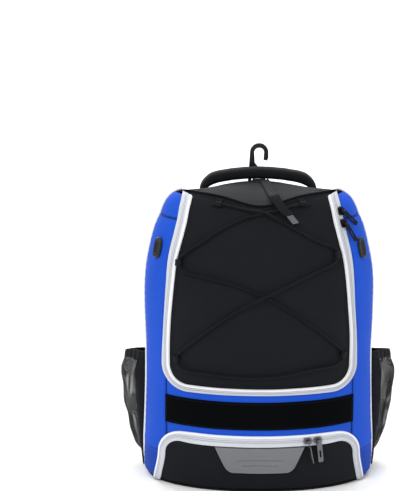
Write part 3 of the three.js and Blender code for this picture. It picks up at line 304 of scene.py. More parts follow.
def makeRibs():
    # fine ribs across a strap on a map in metres, with a herringbone turn down its middle
    tree, given, out = newGroup("ribs", [("Map", "NodeSocketVector"), ("Pitch", "NodeSocketFloat"),
                                         ("Slant", "NodeSocketFloat")], [("Height", "NodeSocketFloat")])
    parts = addNode(tree, "ShaderNodeSeparateXYZ", {0: given["Map"]})
    slanted = maths(tree, "MULTIPLY_ADD", maths(tree, "ABSOLUTE", parts.outputs[0]), given["Slant"])
    tree.nodes[-1].inputs[2].default_value = 0.0
    tree.links.new(parts.outputs[1], tree.nodes[-1].inputs[2])
    turns = maths(tree, "DIVIDE", slanted, given["Pitch"])
    wave = maths(tree, "SINE", maths(tree, "MULTIPLY", turns, 2 * math.pi))
    tree.links.new(maths(tree, "MULTIPLY_ADD", wave, 0.5), out.inputs["Height"])
    return tree


def makeNet():
    # 1 on the knitted strands and 0 in the round holes, which sit in staggered rows on a map in metres
    tree, given, out = newGroup("net", [("Map", "NodeSocketVector"), ("Pitch", "NodeSocketFloat"),
                                        ("Hole", "NodeSocketFloat")], [("Strand", "NodeSocketFloat")])
    reach = []
    for shift in (0.0, 0.5):
        cell = addNode(tree, "ShaderNodeVectorMath", {0: given["Map"], "Scale": maths(tree, "DIVIDE", 1.0, given["Pitch"])},
                       operation="SCALE").outputs[0]
        placed = addNode(tree, "ShaderNodeMapping", {"Vector": cell, "Location": (shift, shift, 0.0),
                                                     "Scale": (1.0, 1 / math.sqrt(3), 1.0)}).outputs[0]
        part = addNode(tree, "ShaderNodeVectorMath", {0: placed}, operation="FRACTION").outputs[0]
        centred = addNode(tree, "ShaderNodeVectorMath", {0: part, 1: (0.5, 0.5, 0.0)}, operation="SUBTRACT").outputs[0]
        flat = addNode(tree, "ShaderNodeVectorMath", {0: centred, 1: (1.0, math.sqrt(3), 0.0)},
                       operation="MULTIPLY").outputs[0]
        reach.append(addNode(tree, "ShaderNodeVectorMath", {0: flat}, operation="LENGTH").outputs["Value"])
    nearest = maths(tree, "MINIMUM", *reach)
    tree.links.new(maths(tree, "GREATER_THAN", nearest, given["Hole"]), out.inputs["Strand"])
    return tree


weave, clouding, ribs, net = makeWeave(), makeClouding(), makeRibs(), makeNet()


def placeGroup(tree, group, **inputs):
    made = tree.nodes.new("ShaderNodeGroup")
    made.node_tree = group
    for key, value in inputs.items():
        if isinstance(value, bpy.types.NodeSocket):
            tree.links.new(value, made.inputs[key])
        else:
            made.inputs[key].default_value = value
    return made.outputs


def startMaterial(name, roughness, specular=0.4, metallic=0.0, sheen=0.0):
    material = bpy.data.materials.new(name)
    material.use_nodes = True
    tree = material.node_tree
    shader = tree.nodes["Principled BSDF"]
    shader.inputs["Roughness"].default_value = roughness
    shader.inputs["Specular IOR Level"].default_value = specular
    shader.inputs["Metallic"].default_value = metallic
    shader.inputs["Sheen Weight"].default_value = sheen
    shader.inputs["Sheen Roughness"].default_value = 0.5
    return material, tree, shader


def toneBetween(tree, factor, dark, light):
    ramp = addNode(tree, "ShaderNodeMix", data_type="RGBA")
    tree.links.new(factor, ramp.inputs["Factor"])
    ramp.inputs["A"].default_value = (*dark, 1.0)
    ramp.inputs["B"].default_value = (*light, 1.0)
    return ramp.outputs["Result"]


def addBump(tree, shader, height, distance, strength=1.0):
    bump = addNode(tree, "ShaderNodeBump", {"Height": height, "Distance": distance, "Strength": strength})
    tree.links.new(bump.outputs[0], shader.inputs["Normal"])


def shaded(tree, tone):
    # painted shade: darker where a piece's own shade attribute marks shade along a seam, along its borders or under a
    # seam
    shade = addNode(tree, "ShaderNodeAttribute", attribute_name="shade").outputs["Fac"]
    darker = addNode(tree, "ShaderNodeMix", data_type="RGBA", blend_type="MULTIPLY")
    tree.links.new(shade, darker.inputs["Factor"])
    tree.links.new(tone, darker.inputs["A"])
    darker.inputs["B"].default_value = (0.12, 0.14, 0.2, 1.0)
    return darker.outputs["Result"]


def clothMaterial(name, dark, light, thread, roughness, sheen, grain=0.00006, specular=0.3, onPad=False):
    material, tree, shader = startMaterial(name, roughness, specular, sheen=sheen)
    place = addNode(tree, "ShaderNodeTexCoord").outputs["Object"]
    if onPad:
        # a remeshed pad has no map of its own, so its weave lies on X and Z
        spread = addNode(tree, "ShaderNodeMapping", {"Vector": place, "Rotation": (math.radians(90), 0.0, 0.0)}).outputs[0]
    else:
        spread = addNode(tree, "ShaderNodeUVMap").outputs[0]
    woven = placeGroup(tree, weave, Map=spread, Thread=thread)
    clouds = placeGroup(tree, clouding, Place=place)
    tone = maths(tree, "ADD", maths(tree, "MULTIPLY", woven["Tone"], 0.45),
                 maths(tree, "MULTIPLY", clouds["Wide"], 0.55), clamp=True)
    # the cloth's tone, with painted seam shade from the shade attribute multiplied over it
    tree.links.new(shaded(tree, toneBetween(tree, tone, dark, light)), shader.inputs["Base Color"])
    height = maths(tree, "ADD", woven["Height"], maths(tree, "MULTIPLY", clouds["Fine"], 0.6))
    addBump(tree, shader, height, grain)
    return material


def strapMaterial(name, dark, light, pitch, slant, roughness, depth=0.00025, sheen=0.1):
    material, tree, shader = startMaterial(name, roughness, 0.12, sheen=sheen)
    spread = addNode(tree, "ShaderNodeUVMap").outputs[0]
    place = addNode(tree, "ShaderNodeTexCoord").outputs["Object"]
    rib = placeGroup(tree, ribs, Map=spread, Pitch=pitch, Slant=slant)["Height"]
    clouds = placeGroup(tree, clouding, Place=place)
    tone = maths(tree, "ADD", maths(tree, "MULTIPLY", rib, 0.6), maths(tree, "MULTIPLY", clouds["Wide"], 0.5), clamp=True)
    tree.links.new(toneBetween(tree, tone, dark, light), shader.inputs["Base Color"])
    addBump(tree, shader, rib, depth)
    return material


def tapeMaterial(name, tapeTone, lineTone, bindingTone):
    material, tree, shader = startMaterial(name, 0.8, 0.12)
    spread = addNode(tree, "ShaderNodeUVMap").outputs[0]
    place = addNode(tree, "ShaderNodeTexCoord").outputs["Object"]
    rib = placeGroup(tree, ribs, Map=spread, Pitch=0.0011, Slant=0.0)["Height"]
    across = addNode(tree, "ShaderNodeSeparateXYZ", {0: spread}).outputs[0]
    teeth = maths(tree, "ABSOLUTE", maths(tree, "SUBTRACT", maths(tree, "ABSOLUTE", across), 0.0013))
    binding = addNode(tree, "ShaderNodeAttribute", attribute_name="shade").outputs["Fac"]
    clouds = placeGroup(tree, clouding, Place=place)
    worn = maths(tree, "MULTIPLY_ADD", clouds["Wide"], 0.5)
    tree.links.new(maths(tree, "MULTIPLY", rib, 0.3), tree.nodes[-2].inputs[2])
    base = toneBetween(tree, worn, tuple(0.9 * c for c in tapeTone), tapeTone)
    bound = addNode(tree, "ShaderNodeMix", data_type="RGBA")
    tree.links.new(binding, bound.inputs["Factor"])
    tree.links.new(base, bound.inputs["A"])
    bound.inputs["B"].default_value = (*bindingTone, 1.0)
    lined = addNode(tree, "ShaderNodeMix", data_type="RGBA")
    tree.links.new(maths(tree, "LESS_THAN", teeth, 0.00042), lined.inputs["Factor"])
    tree.links.new(bound.outputs["Result"], lined.inputs["A"])
    lined.inputs["B"].default_value = (*lineTone, 1.0)
    tree.links.new(lined.outputs["Result"], shader.inputs["Base Color"])
    addBump(tree, shader, rib, 0.00012)
    return material


def mouldedMaterial(name, dark, light, roughness, specular, grain, metallic=0.0, grainScale=900.0):
    material, tree, shader = startMaterial(name, roughness, specular, metallic)
    place = addNode(tree, "ShaderNodeTexCoord").outputs["Object"]
    clouds = placeGroup(tree, clouding, Place=place)
    speckle = addNode(tree, "ShaderNodeTexNoise", {"Vector": place, "Scale": grainScale, "Detail": 2.0}).outputs[0]
    tree.links.new(toneBetween(tree, clouds["Wide"], dark, light), shader.inputs["Base Color"])
    rough = maths(tree, "MULTIPLY_ADD", clouds["Wide"], 0.16)
    tree.nodes[-1].inputs[2].default_value = roughness - 0.08
    tree.links.new(rough, shader.inputs["Roughness"])
    addBump(tree, shader, speckle, grain)
    return material


def netMaterial(name, dark, light, pitch, hole):
    material, tree, shader = startMaterial(name, 0.75, 0.12)
    spread = addNode(tree, "ShaderNodeUVMap").outputs[0]
    strand = placeGroup(tree, net, Map=spread, Pitch=pitch, Hole=hole)["Strand"]
    place = addNode(tree, "ShaderNodeTexCoord").outputs["Object"]
    clouds = placeGroup(tree, clouding, Place=place)
    tree.links.new(toneBetween(tree, clouds["Wide"], dark, light), shader.inputs["Base Color"])
    tree.links.new(strand, shader.inputs["Alpha"])
    return material


blueCloth = clothMaterial("blueCloth", (0.006, 0.055, 0.42), (0.012, 0.085, 0.56), 0.00055, 0.78, 0.02, specular=0.12)
blackCloth = clothMaterial("blackCloth", (0.0035, 0.004, 0.0055), (0.008, 0.009, 0.0115), 0.00055, 0.7, 0.01, specular=0.1)
loopCloth = clothMaterial("loopCloth", (0.0008, 0.001, 0.0014), (0.0022, 0.0026, 0.0032), 0.0009, 0.95, 0.0, 0.0003, 0.04)
padNet = clothMaterial("padNet", (0.010, 0.011, 0.014), (0.045, 0.047, 0.055), 0.0026, 0.85, 0.02, 0.0006, 0.12, True)
padCloth = clothMaterial("padCloth", (0.0035, 0.004, 0.0055), (0.009, 0.010, 0.0125), 0.0009, 0.75, 0.01, 0.00012, 0.1, True)
whiteTape = tapeMaterial("whiteTape", (0.62, 0.64, 0.68), (0.27, 0.28, 0.3), (0.82, 0.83, 0.86))
whitePiping = clothMaterial("whitePiping", (0.68, 0.70, 0.74), (0.8, 0.81, 0.84), 0.0005, 0.7, 0.0, specular=0.15)
blackStrap = strapMaterial("blackStrap", (0.0025, 0.003, 0.004), (0.009, 0.01, 0.0125), 0.0016, 0.6, 0.72, sheen=0.01)
cordBraid = strapMaterial("cordBraid", (0.002, 0.0022, 0.003), (0.009, 0.0095, 0.011), 0.0011, 1.6, 0.65, 0.0003, 0.01)
pocketNet = netMaterial("pocketNet", (0.004, 0.0045, 0.006), (0.012, 0.013, 0.016), 0.0031, 0.355)
greyRubber = mouldedMaterial("greyRubber", (0.13, 0.135, 0.145), (0.17, 0.175, 0.187), 0.62, 0.25, 0.00006)
blackPlastic = mouldedMaterial("blackPlastic", (0.003, 0.0033, 0.004), (0.006, 0.0065, 0.0075), 0.36, 0.35, 0.00003)
darkMetal = mouldedMaterial("darkMetal", (0.10, 0.103, 0.108), (0.17, 0.174, 0.18), 0.32, 0.5, 0.00002, 1.0)
blackMetal = mouldedMaterial("blackMetal", (0.018, 0.019, 0.021), (0.032, 0.033, 0.036), 0.3, 0.5, 0.00002, 1.0)
print("materials ready")


# ---- meshes
def putMesh(name, points, faces, cornerMap=None, flat=None, material=None, stands=(), slotName=None, part="root",
            shade=None):
    mesh = bpy.data.meshes.new(name)
    mesh.from_pydata((np.asarray(points, float).reshape(-1, 3) * 0.001).tolist(), [], [list(f) for f in faces])
    smoothFaces = np.ones(len(mesh.polygons), bool)
    if flat is not None:
        smoothFaces[flat] = False
    mesh.polygons.foreach_set("use_smooth", smoothFaces)
    if cornerMap is not None:
        spread = np.zeros((len(mesh.loops), 2))
        spread[:len(cornerMap)] = np.asarray(cornerMap) * 0.001
        mesh.uv_layers.new(name="UVMap").data.foreach_set("uv", spread.ravel())
    if shade is not None:
        mesh.attributes.new("shade", "FLOAT", "POINT").data.foreach_set("value", np.asarray(shade, float).ravel())
    mesh.update()
    piece = bpy.data.objects.new(name, mesh)
    bpy.context.scene.collection.objects.link(piece)
    if material is not None:
        mesh.materials.append(material)
    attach(piece, part)
    if stands:
        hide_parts(*stands)
    return piece


def gridFaces(rows, columns, start=0):
    at = start + (np.arange(rows - 1)[:, None] * columns + np.arange(columns - 1)).ravel()
    return np.stack([at, at + 1, at + columns + 1, at + columns], 1)


def arcsOf(points):
    # running lengths across and up a grid of points
    across = np.linalg.norm(np.diff(points, axis=1), axis=-1)
    upward = np.linalg.norm(np.diff(points, axis=0), axis=-1)
    a = np.concatenate([np.zeros((points.shape[0], 1)), across.cumsum(1)], 1)
    b = np.concatenate([np.zeros((1, points.shape[1])), upward.cumsum(0)], 0)
    return a, b


def gridNormals(points, facing):
    across, upward = np.gradient(points, axis=1), np.gradient(points, axis=0)
    normals = unit(np.cross(across, upward))
    sign = 1.0 if (normals * np.asarray(facing, float)).sum(-1).mean() > 0 else -1.0
    return normals * sign, sign


def shellMesh(name, outer, inner, facing, shade=None, **kept):
    # an outer and an inner grid of points, joined round their borders
    if shade is not None:
        kept["shade"] = np.concatenate([shade.ravel(), shade.ravel()])
    rows, columns = outer.shape[:2]
    sign = gridNormals(outer, facing)[1]
    count = rows * columns
    faces = [gridFaces(rows, columns), gridFaces(rows, columns, count)[:, ::-1]]
    c, r = np.arange(columns - 1), np.arange(rows - 1)
    top, right = (rows - 1) * columns, columns - 1
    faces += [
        np.stack([c + 1, c, count + c, count + c + 1], 1),
        np.stack([top + c, top + c + 1, count + top + c + 1, count + top + c], 1),
        np.stack([r * columns, (r + 1) * columns, count + (r + 1) * columns, count + r * columns], 1),
        np.stack([(r + 1) * columns + right, r * columns + right, count + r * columns + right,
                  count + (r + 1) * columns + right], 1),
    ]
    quads = np.concatenate(faces)
    if sign < 0:
        quads = quads[:, ::-1]
    a, b = arcsOf(outer)
    a = a - a[:, -1:] / 2
    spread = np.stack([a.ravel(), b.ravel()], 1)
    spread = np.concatenate([spread, spread])
    walls = np.arange(2 * (rows - 1) * (columns - 1), len(quads))
    return putMesh(name, np.concatenate([outer.reshape(-1, 3), inner.reshape(-1, 3)]), quads,
                   spread[quads.ravel()], walls, **kept)


def crowded(count, power=1.5):
    t = np.linspace(-1, 1, count + 1)
    return (1 + np.sign(t) * (1 - (1 - np.abs(t)) ** power)) / 2


def panel(name, point, us, vs, facing, thickness=2.3, soft=True, relief=None, tuck=1.1, tuckWidth=2.0,
          seamShade=None, **kept):
    # a sewn panel: its surface, soft unevenness, borders that dip into their seam, and painted shade along the borders
    # and any seam line given
    u, v = np.meshgrid(us, vs)
    base = point(u, v)
    normals = gridNormals(base, facing)[0]
    a, b = arcsOf(base)
    edge = np.minimum(np.minimum(a, a[:, -1:] - a), np.minimum(b, b[-1:] - b))
    lift = -tuck * np.exp(-(edge / tuckWidth) ** 2)
    if soft:
        lift = lift + softAt(base[..., 0], base[..., 2])
    if relief is not None:
        lift = lift + relief(base, a, b, edge)
    outer = base + normals * lift[..., None]
    # painted shade along the borders, where the cloth dips into its seam, with more painted shade along any other seam
    # line the panel is given
    shade = 0.7 * np.exp(-(edge / 1.8) ** 2)
    if seamShade is not None:
        shade = np.maximum(shade, seamShade(base, edge))
    return shellMesh(name, outer, outer - normals * thickness, facing, shade, **kept)


def tubeFrames(path, upHint):
    # tangent, across and normal at each point of a path, with the normal near a given direction
    tangent = unit(np.gradient(path, axis=0))
    hint = np.broadcast_to(np.asarray(upHint, float), path.shape)
    across = unit(np.cross(tangent, hint))
    return tangent, across, unit(np.cross(across, tangent))


def sweep(name, path, across, normal, profile, capEnds=True, **kept):
    # a closed profile carried along a path; profile is (points, 2) or (path, points, 2), in across and normal
    profile = np.broadcast_to(profile, (len(path),) + np.asarray(profile).shape[-2:])
    rings = path[:, None] + across[:, None] * profile[..., :1] + normal[:, None] * profile[..., 1:]
    count, sides = rings.shape[:2]
    ring, spot = np.meshgrid(np.arange(count - 1), np.arange(sides), indexing="ij")
    following = (spot + 1) % sides
    quads = np.stack([ring * sides + spot, ring * sides + following, (ring + 1) * sides + following,
                      (ring + 1) * sides + spot], -1).reshape(-1, 4)
    step = np.linalg.norm(np.diff(np.concatenate([rings, rings[:, :1]], 1), axis=1), axis=-1)
    around = np.concatenate([np.zeros((count, 1)), step.cumsum(1)], 1)
    around = around - around[:, -1:] / 2
    along = np.concatenate([[0.0], np.linalg.norm(np.diff(path, axis=0), axis=1).cumsum()])
    mapping = np.stack([
        np.stack([around[ring, spot], along[ring]], -1), np.stack([around[ring, spot + 1], along[ring]], -1),
        np.stack([around[ring + 1, spot + 1], along[ring + 1]], -1),
        np.stack([around[ring + 1, spot], along[ring + 1]], -1)], 2).reshape(-1, 4, 2)
    # the profile runs anticlockwise seen from the path's end, or else its faces are turned
    area = profile[0, :, 0] * np.roll(profile[0, :, 1], -1) - np.roll(profile[0, :, 0], -1) * profile[0, :, 1]
    ahead = (np.cross(across, normal) * np.gradient(path, axis=0)).sum(-1).mean()
    faces = quads
    if area.sum() * ahead < 0:
        faces, mapping = quads[:, ::-1], mapping[:, ::-1]
    caps = []
    if capEnds:
        first, last = list(range(sides)), list(range((count - 1) * sides, count * sides))
        caps = [first[::-1], last] if area.sum() * ahead > 0 else [first, last[::-1]]
    allFaces = [list(f) for f in faces] + caps
    flat = np.arange(len(faces), len(allFaces)) if caps else None
    return putMesh(name, rings, allFaces, mapping.reshape(-1, 2), flat, **kept)


def roundProfile(radius, sides=10, squash=1.0):
    turn = np.arange(sides) / sides * 2 * math.pi
    return np.stack([radius * np.cos(turn), radius * squash * np.sin(turn)], -1)


def strapProfile(width, thickness, spots=7, edge=0.45):
    # a flat strap seen on its end: level faces and rounded selvedges; width and thickness may be arrays
    width, thickness = np.broadcast_arrays(np.atleast_1d(np.asarray(width, float)), np.asarray(thickness, float))
    inset = np.minimum(thickness * edge, width * 0.2)
    level = np.linspace(-1, 1, spots)
    across = level * (width / 2 - inset)[:, None]
    low, high = np.zeros_like(across), np.ones_like(across) * thickness[:, None]
    right = np.stack([width / 2, thickness * 0.5], -1)[:, None]
    left = np.stack([-width / 2, thickness * 0.5], -1)[:, None]
    return np.concatenate([np.stack([across, low], -1), right, np.stack([across[:, ::-1], high], -1), left], 1)


def curveThrough(points, perSpan, closed=False):
    # a smooth curve through points, with knots spaced by the square root of their distances
    points = np.asarray(points, float)
    padded = np.concatenate([2 * points[:1] - points[1:2], points, 2 * points[-1:] - points[-2:-1]])
    t = np.linspace(0, 1, perSpan, endpoint=False)[:, None]
    spans = []
    for i in range(len(points) - 1):
        p = padded[i:i + 4]
        d = np.sqrt(np.maximum(np.linalg.norm(np.diff(p, axis=0), axis=1), 1e-9))
        t1 = (p[1] - p[0]) / d[0] - (p[2] - p[0]) / (d[0] + d[1]) + (p[2] - p[1]) / d[1]
        t2 = (p[2] - p[1]) / d[1] - (p[3] - p[1]) / (d[1] + d[2]) + (p[3] - p[2]) / d[2]
        t1, t2 = t1 * d[1], t2 * d[1]
        spans.append((2 * t ** 3 - 3 * t ** 2 + 1) * p[1] + (t ** 3 - 2 * t ** 2 + t) * t1
                     + (-2 * t ** 3 + 3 * t ** 2) * p[2] + (t ** 3 - t ** 2) * t2)
    return np.concatenate(spans + [points[-1:]])


def evened(path, spacing):
    # the same path with its points a steady distance apart
    run = np.concatenate([[0.0], np.linalg.norm(np.diff(path, axis=0), axis=1).cumsum()])
    places = np.linspace(0, run[-1], max(int(run[-1] / spacing), 3) + 1)
    return np.stack([np.interp(places, run, path[:, i]) for i in range(3)], -1)


def stitches(name, rows, material, long=2.4, gap=1.5, width=0.55, high=0.35):
    # sewn rows as small low dashes that narrow upwards; each row is a path with its normals
    dashes = []
    for path, up in rows:
        run = np.concatenate([[0.0], np.linalg.norm(np.diff(path, axis=0), axis=1).cumsum()])
        places = np.arange(long, run[-1] - long, long + gap)
        at, lift = [np.stack([np.interp(places, run, grid[:, i]) for i in range(3)], -1) for grid in (path, up)]
        ahead = np.stack([np.interp(places + 0.3, run, path[:, i]) for i in range(3)], -1)
        along, lift = unit(ahead - at), unit(lift)
        over = np.cross(lift, along)
        corners = [at + along * (a * long / 2) + over * (b * width / 2) + lift * c
                   for a, b, c in ((-1, -1, -0.2), (1, -1, -0.2), (1, 1, -0.2), (-1, 1, -0.2), (-0.7, -0.5, high),
                                   (0.7, -0.5, high), (0.7, 0.5, high), (-0.7, 0.5, high))]
        dashes.append(np.stack(corners, 1))
    dashes = np.concatenate(dashes)
    box = np.array([(3, 2, 1, 0), (4, 5, 6, 7), (0, 1, 5, 4), (1, 2, 6, 5), (2, 3, 7, 6), (3, 0, 4, 7)])
    faces = (np.arange(len(dashes)) * 8)[:, None, None] + box
    return putMesh(name, dashes, faces.reshape(-1, 4), material=material)


print("mesh tools ready")


# ---- body panels
seamPucker = dict(reach=7.0, height=0.30, wave=10.5)


def puckers(a, b, edge, wave=None):
    # small gathers where a seam holds the cloth, fading a few millimetres from the border
    wave = wave or seamPucker["wave"]
    fade = np.exp(-(edge / seamPucker["reach"]) ** 2)
    return seamPucker["height"] * fade * np.sin(2 * math.pi * (a + b) / wave + 1.3 * np.sin((a - b) / 37))


def stitchGroove(edge, inset, depth=0.45, width=0.9):
    # a sewn line pulls the cloth down a little, a steady way in from the border
    return -depth * np.exp(-((edge - inset) / width) ** 2)


flap = dict(across=112, up=116, seamInset=8.0, bulge=1.2)


def flapPoint(u, v):
    low = zipLine.level + 1.5
    level = mix(low, body["height"], v)
    x = (2 * u - 1) * (zipLine.halfAt(level) - 1.5)
    return frontPoint(x, mix(low, topEdgeAt(x) + 2.8, v))


def flapRelief(base, a, b, edge):
    puff = flap["bulge"] * (1 - np.exp(-(edge / 16) ** 2))
    return puckers(a, b, edge) + stitchGroove(edge, flap["seamInset"]) + puff - 0.4


# the flap's shade values: painted shade along its stitch groove, besides the painted shade at its borders
panel("flap", flapPoint, crowded(flap["across"]), crowded(flap["up"]), (0, -1, 0), relief=flapRelief,
      seamShade=lambda base, edge: 0.5 * np.exp(-((edge - flap["seamInset"]) / 0.9) ** 2), material=blackCloth, stands=["front_flap"], slotName="black_fabric")


def bluePoint(u, v):
    x = (2 * u - 1) * (seamHalf - body["gap"])
    return frontPoint(x, mix(archLine.levelAt(x) + 1.5, zipLine.levelAt(x) - 1.5, v))


def blueRelief(base, a, b, edge):
    return puckers(a, b, edge) * 0.8


panel("bluePanel", bluePoint, crowded(112, 1.3), crowded(40), (0, -1, 0), relief=blueRelief,
      material=blueCloth, stands=["front_panel"], slotName="blue_fabric")


def shoePoint(u, v):
    level = mix(body["floor"], archLine.level - 1.5, v)
    return frontPoint((2 * u - 1) * (archLine.halfAt(level) - 1.5), level)


def shoeRelief(base, a, b, edge):
    return puckers(a, b, edge) + 0.8 * (1 - np.exp(-(edge / 14) ** 2)) - 0.3


panel("shoeFlap", shoePoint, crowded(116), crowded(34), (0, -1, 0), relief=shoeRelief,
      material=blackCloth, stands=["shoe_flap"], slotName="black_fabric")

gusset = dict(seamHeight=49.0, foldCount=5, foldHeight=0.55)
for label, side in (("left", -1), ("right", 1)):
    def gussetPoint(u, v, low=body["floor"], high=body["capSeam"]):
        z = mix(low, high, v)
        start = gussetStart(z)
        return turningPoint(side, mix(start, math.pi / 2 - pipingRoom / depthAt(z), u), z)

    def gussetRelief(base, a, b, edge):
        z = base[..., 2]
        seam = -0.9 * np.exp(-((z - gusset["seamHeight"]) / 1.3) ** 2) + 0.5 * np.exp(-((z - 56) / 5) ** 2)
        folds = gusset["foldHeight"] * np.sin(z / 21 + a / 17 + side) * np.sin(z / 47 + 1.0) * smooth(edge / 10)
        return puckers(a, b, edge) + seam + folds

    def gussetSeamShade(base, edge):
        # painted shade: dark in the groove of the cross seam, and a fainter painted shade over all the cloth below it
        below = gusset["seamHeight"] - base[..., 2]
        return np.maximum(0.8 * np.exp(-(below / 1.3) ** 2), 0.38 * smooth(below / 5))

    panel("gusset_" + label, gussetPoint, crowded(26), crowded(150, 1.2), (side, -1, 0), relief=gussetRelief,
          seamShade=gussetSeamShade, material=blueCloth, stands=["gusset_" + label], slotName="blue_fabric")

    def capPoint(u, v):
        return gussetPoint(u, v, body["capSeam"] + body["gap"], body["capTop"])

    panel("shoulderCap_" + label, capPoint, crowded(26), crowded(26), (side, -1, 0), relief=blueRelief,
          material=blueCloth, stands=["shoulder_cap_" + label], slotName="blue_fabric")

    def sidePoint(u, v):
        y = mix(pipingRoom, body["back"] - body["wall"] - body["gap"], u)
        z = mix(body["floor"], sideTopAt(y), v)
        return stack(side * sideX(y, z), y, z)

    def sideRelief(base, a, b, edge):
        y, z = base[..., 1], base[..., 2]
        drape = 0.9 * np.sin(y / 13 + z / 90 + side) * np.sin(z / 58) + 0.7 * np.sin(z / 37 - y / 29)
        return (drape - 0.8) * smooth(edge / 14) + puckers(a, b, edge)

    panel("sidePanel_" + label, sidePoint, crowded(44, 1.3), crowded(120, 1.2), (side, 0, 0), soft=False,
          relief=sideRelief, material=blackCloth, stands=["side_panel_" + label], slotName="black_fabric")


def backPoint(u, v):
    edgeX = sideAt(mix(body["floor"], float(backTopAt(np.array(97.0))), v)) - body["backRound"]
    x = (2 * u - 1) * edgeX
    return stack(x, body["back"], mix(body["floor"], backTopAt(x) - body["gap"], v))


def backRelief(base, a, b, edge):
    return 0.5 * np.sin(base[..., 0] / 21) * np.sin(base[..., 2] / 33) * smooth(edge / 20) - 0.3


panel("backPanel", backPoint, crowded(70, 1.3), crowded(90, 1.3), (0, 1, 0), soft=False, relief=backRelief,
      material=blackCloth, stands=["back_panel"], slotName="black_fabric")


hoodFront = float(hoodPoint(1.0, 0.0)[1])
hoodSteps = np.concatenate([np.linspace(0, (1.0 - hoodFront) / (88 - hoodFront), 12, endpoint=False),
                            (np.linspace(1.0, 88, 46) - hoodFront) / (88 - hoodFront)])
hoodU, hoodV = np.meshgrid(2 * crowded(92, 1.4) - 1, hoodSteps)
hoodBase = hoodPoint(hoodU, hoodV)
hoodX, hoodY = hoodBase[..., 0], hoodBase[..., 1]
hoodEdge = np.minimum((1 - np.abs(hoodU)) * 95, np.minimum(hoodV, 1 - hoodV) * 150)
hoodSag = 0.9 * np.sin(hoodX / 23 + hoodY / 31) * np.sin(hoodY / 27 - hoodX / 45) * smooth(hoodEdge / 18)
hoodSag = hoodSag + stitchGroove(hoodEdge, 6.0, 0.4)
hoodTop = hoodBase + stack(0, 0, hoodSag)
# the shade values are painted shade along the hood's border and along its stitch groove
shellMesh("hood", hoodTop, hoodTop - stack(0, 0, 2.3 + 0 * hoodSag), (0, 0, 1),
          np.maximum(0.6 * np.exp(-(hoodEdge / 1.6) ** 2), 0.5 * np.exp(-((hoodEdge - 6) / 0.9) ** 2)),
          material=blackCloth, stands=["hood"], slotName="black_fabric")

# the base: its outline drawn in towards the middle, with a rounded rim
baseTurn = np.linspace(-math.pi / 2, math.pi / 2, 61)
baseFront = turningPoint(1, baseTurn, 0.0)
baseY = np.array([4, 8, 12, 16, 20, 24, 28, 34, 48, 62, 72, 80, 83, 86, 88.0])
baseSide = sideX(baseY, np.zeros(len(baseY)))
baseRim = np.concatenate([baseFront[:, :2], np.stack([baseSide, baseY], 1), np.stack([-baseSide, baseY], 1)[::-1]])
baseRim = evened(np.concatenate([baseRim, baseRim[:1]])[:, [0, 1, 1]] * [1, 1, 0], 3.0)[:-1, :2]
baseMiddle = np.array([0.0, -8.0])
baseLevels = [(0.0, 0.15), (0.5, 0.1), (0.94, 0.1), (0.985, 0.6), (0.996, 1.6), (0.996, 2.6), (0.985, 3.6), (0.94, 4.0),
              (0.5, 4.0), (0.0, 4.0)]
baseRings = np.stack([np.concatenate([baseMiddle + (baseRim - baseMiddle) * share, np.full((len(baseRim), 1), z)], 1)
                      for share, z in baseLevels])
count, sides = baseRings.shape[:2]
ring, spot = np.meshgrid(np.arange(1, count - 2), np.arange(sides), indexing="ij")
baseFaces = np.stack([ring * sides + spot, ring * sides + (spot + 1) % sides, (ring + 1) * sides + (spot + 1) % sides,
                      (ring + 1) * sides + spot], -1).reshape(-1, 4) - sides + 1
baseShown = np.concatenate([baseRings[0, :1], baseRings[1:-1].reshape(-1, 3), baseRings[-1, :1]])
spots = np.arange(sides)
endAt = len(baseShown) - 1
fans = [[0, 1 + (s + 1) % sides, 1 + s] for s in spots]
fans += [[endAt, endAt - sides + s, endAt - sides + (s + 1) % sides] for s in spots]
baseAll = [list(f) for f in baseFaces] + fans
baseMap = baseShown[np.concatenate([np.array(f) for f in baseAll])][:, :2]
putMesh("basePanel", baseShown, baseAll, baseMap, material=blackCloth, stands=["base_panel"], slotName="black_fabric")

# ---- piping: a covered cord, swept as a round tube; the sewn flange behind it is not built
for label, side in (("left", -1), ("right", 1)):
    up = mix(body["floor"] + body["piping"], body["capTop"] - 6, 1 - (1 - np.linspace(0, 1, 15)) ** 1.4)
    route = stack(side * halfAt(up), 0.0, up)
    ridge = body["capTop"] + body["piping"] + 2 * body["gap"]
    for backTurn, rise in ((0.0, -2.5), (0.04, 0.0), (0.17, 0.8)):
        spotAt = turningPoint(side, math.pi / 2 - backTurn, min(ridge + rise, body["height"]))
        route = np.concatenate([route, [[spotAt[0], spotAt[1], ridge + rise]]])
    path = evened(curveThrough(route, 10), 2.0)
    frames = tubeFrames(path, (side, 0, 0))
    wobble = 1 + 0.05 * np.sin(np.arange(len(path)) * 1.9) * np.sin(np.arange(len(path)) * 0.37)
    sweep("piping_" + label, path, frames[1], frames[2], roundProfile(body["piping"] + 0.15, 12) * wobble[:, None, None],
          material=whitePiping, stands=["piping_" + label], slotName="white_piping")
print("body ready")

# ---- zippers and trim on the front
tape = dict(low=0.6, level=1.5, rib=0.75, ribHalf=2.4, groove=0.5, binding=0.9, bindingHalf=1.7)


def tapeLift(off, width, bound):
    # a flat tape that thins at its edges, a rib over the teeth between two grooves, a rolled inner edge
    half = width / 2
    lift = tape["level"] * smooth((half - np.abs(off)) / 0.9) + tape["low"]
    lift = lift + tape["rib"] * smooth((tape["ribHalf"] - np.abs(off)) / 0.9)
    lift = lift - tape["groove"] * np.exp(-((np.abs(off) - tape["ribHalf"] - 0.35) / 0.45) ** 2)
    lift = lift - 0.45 * np.exp(-(off / 0.28) ** 2)
    roll = (off * bound - half + tape["bindingHalf"] + 0.2) / tape["bindingHalf"]
    return lift + tape["binding"] * np.sqrt(np.clip(1 - roll ** 2, 0, 1))


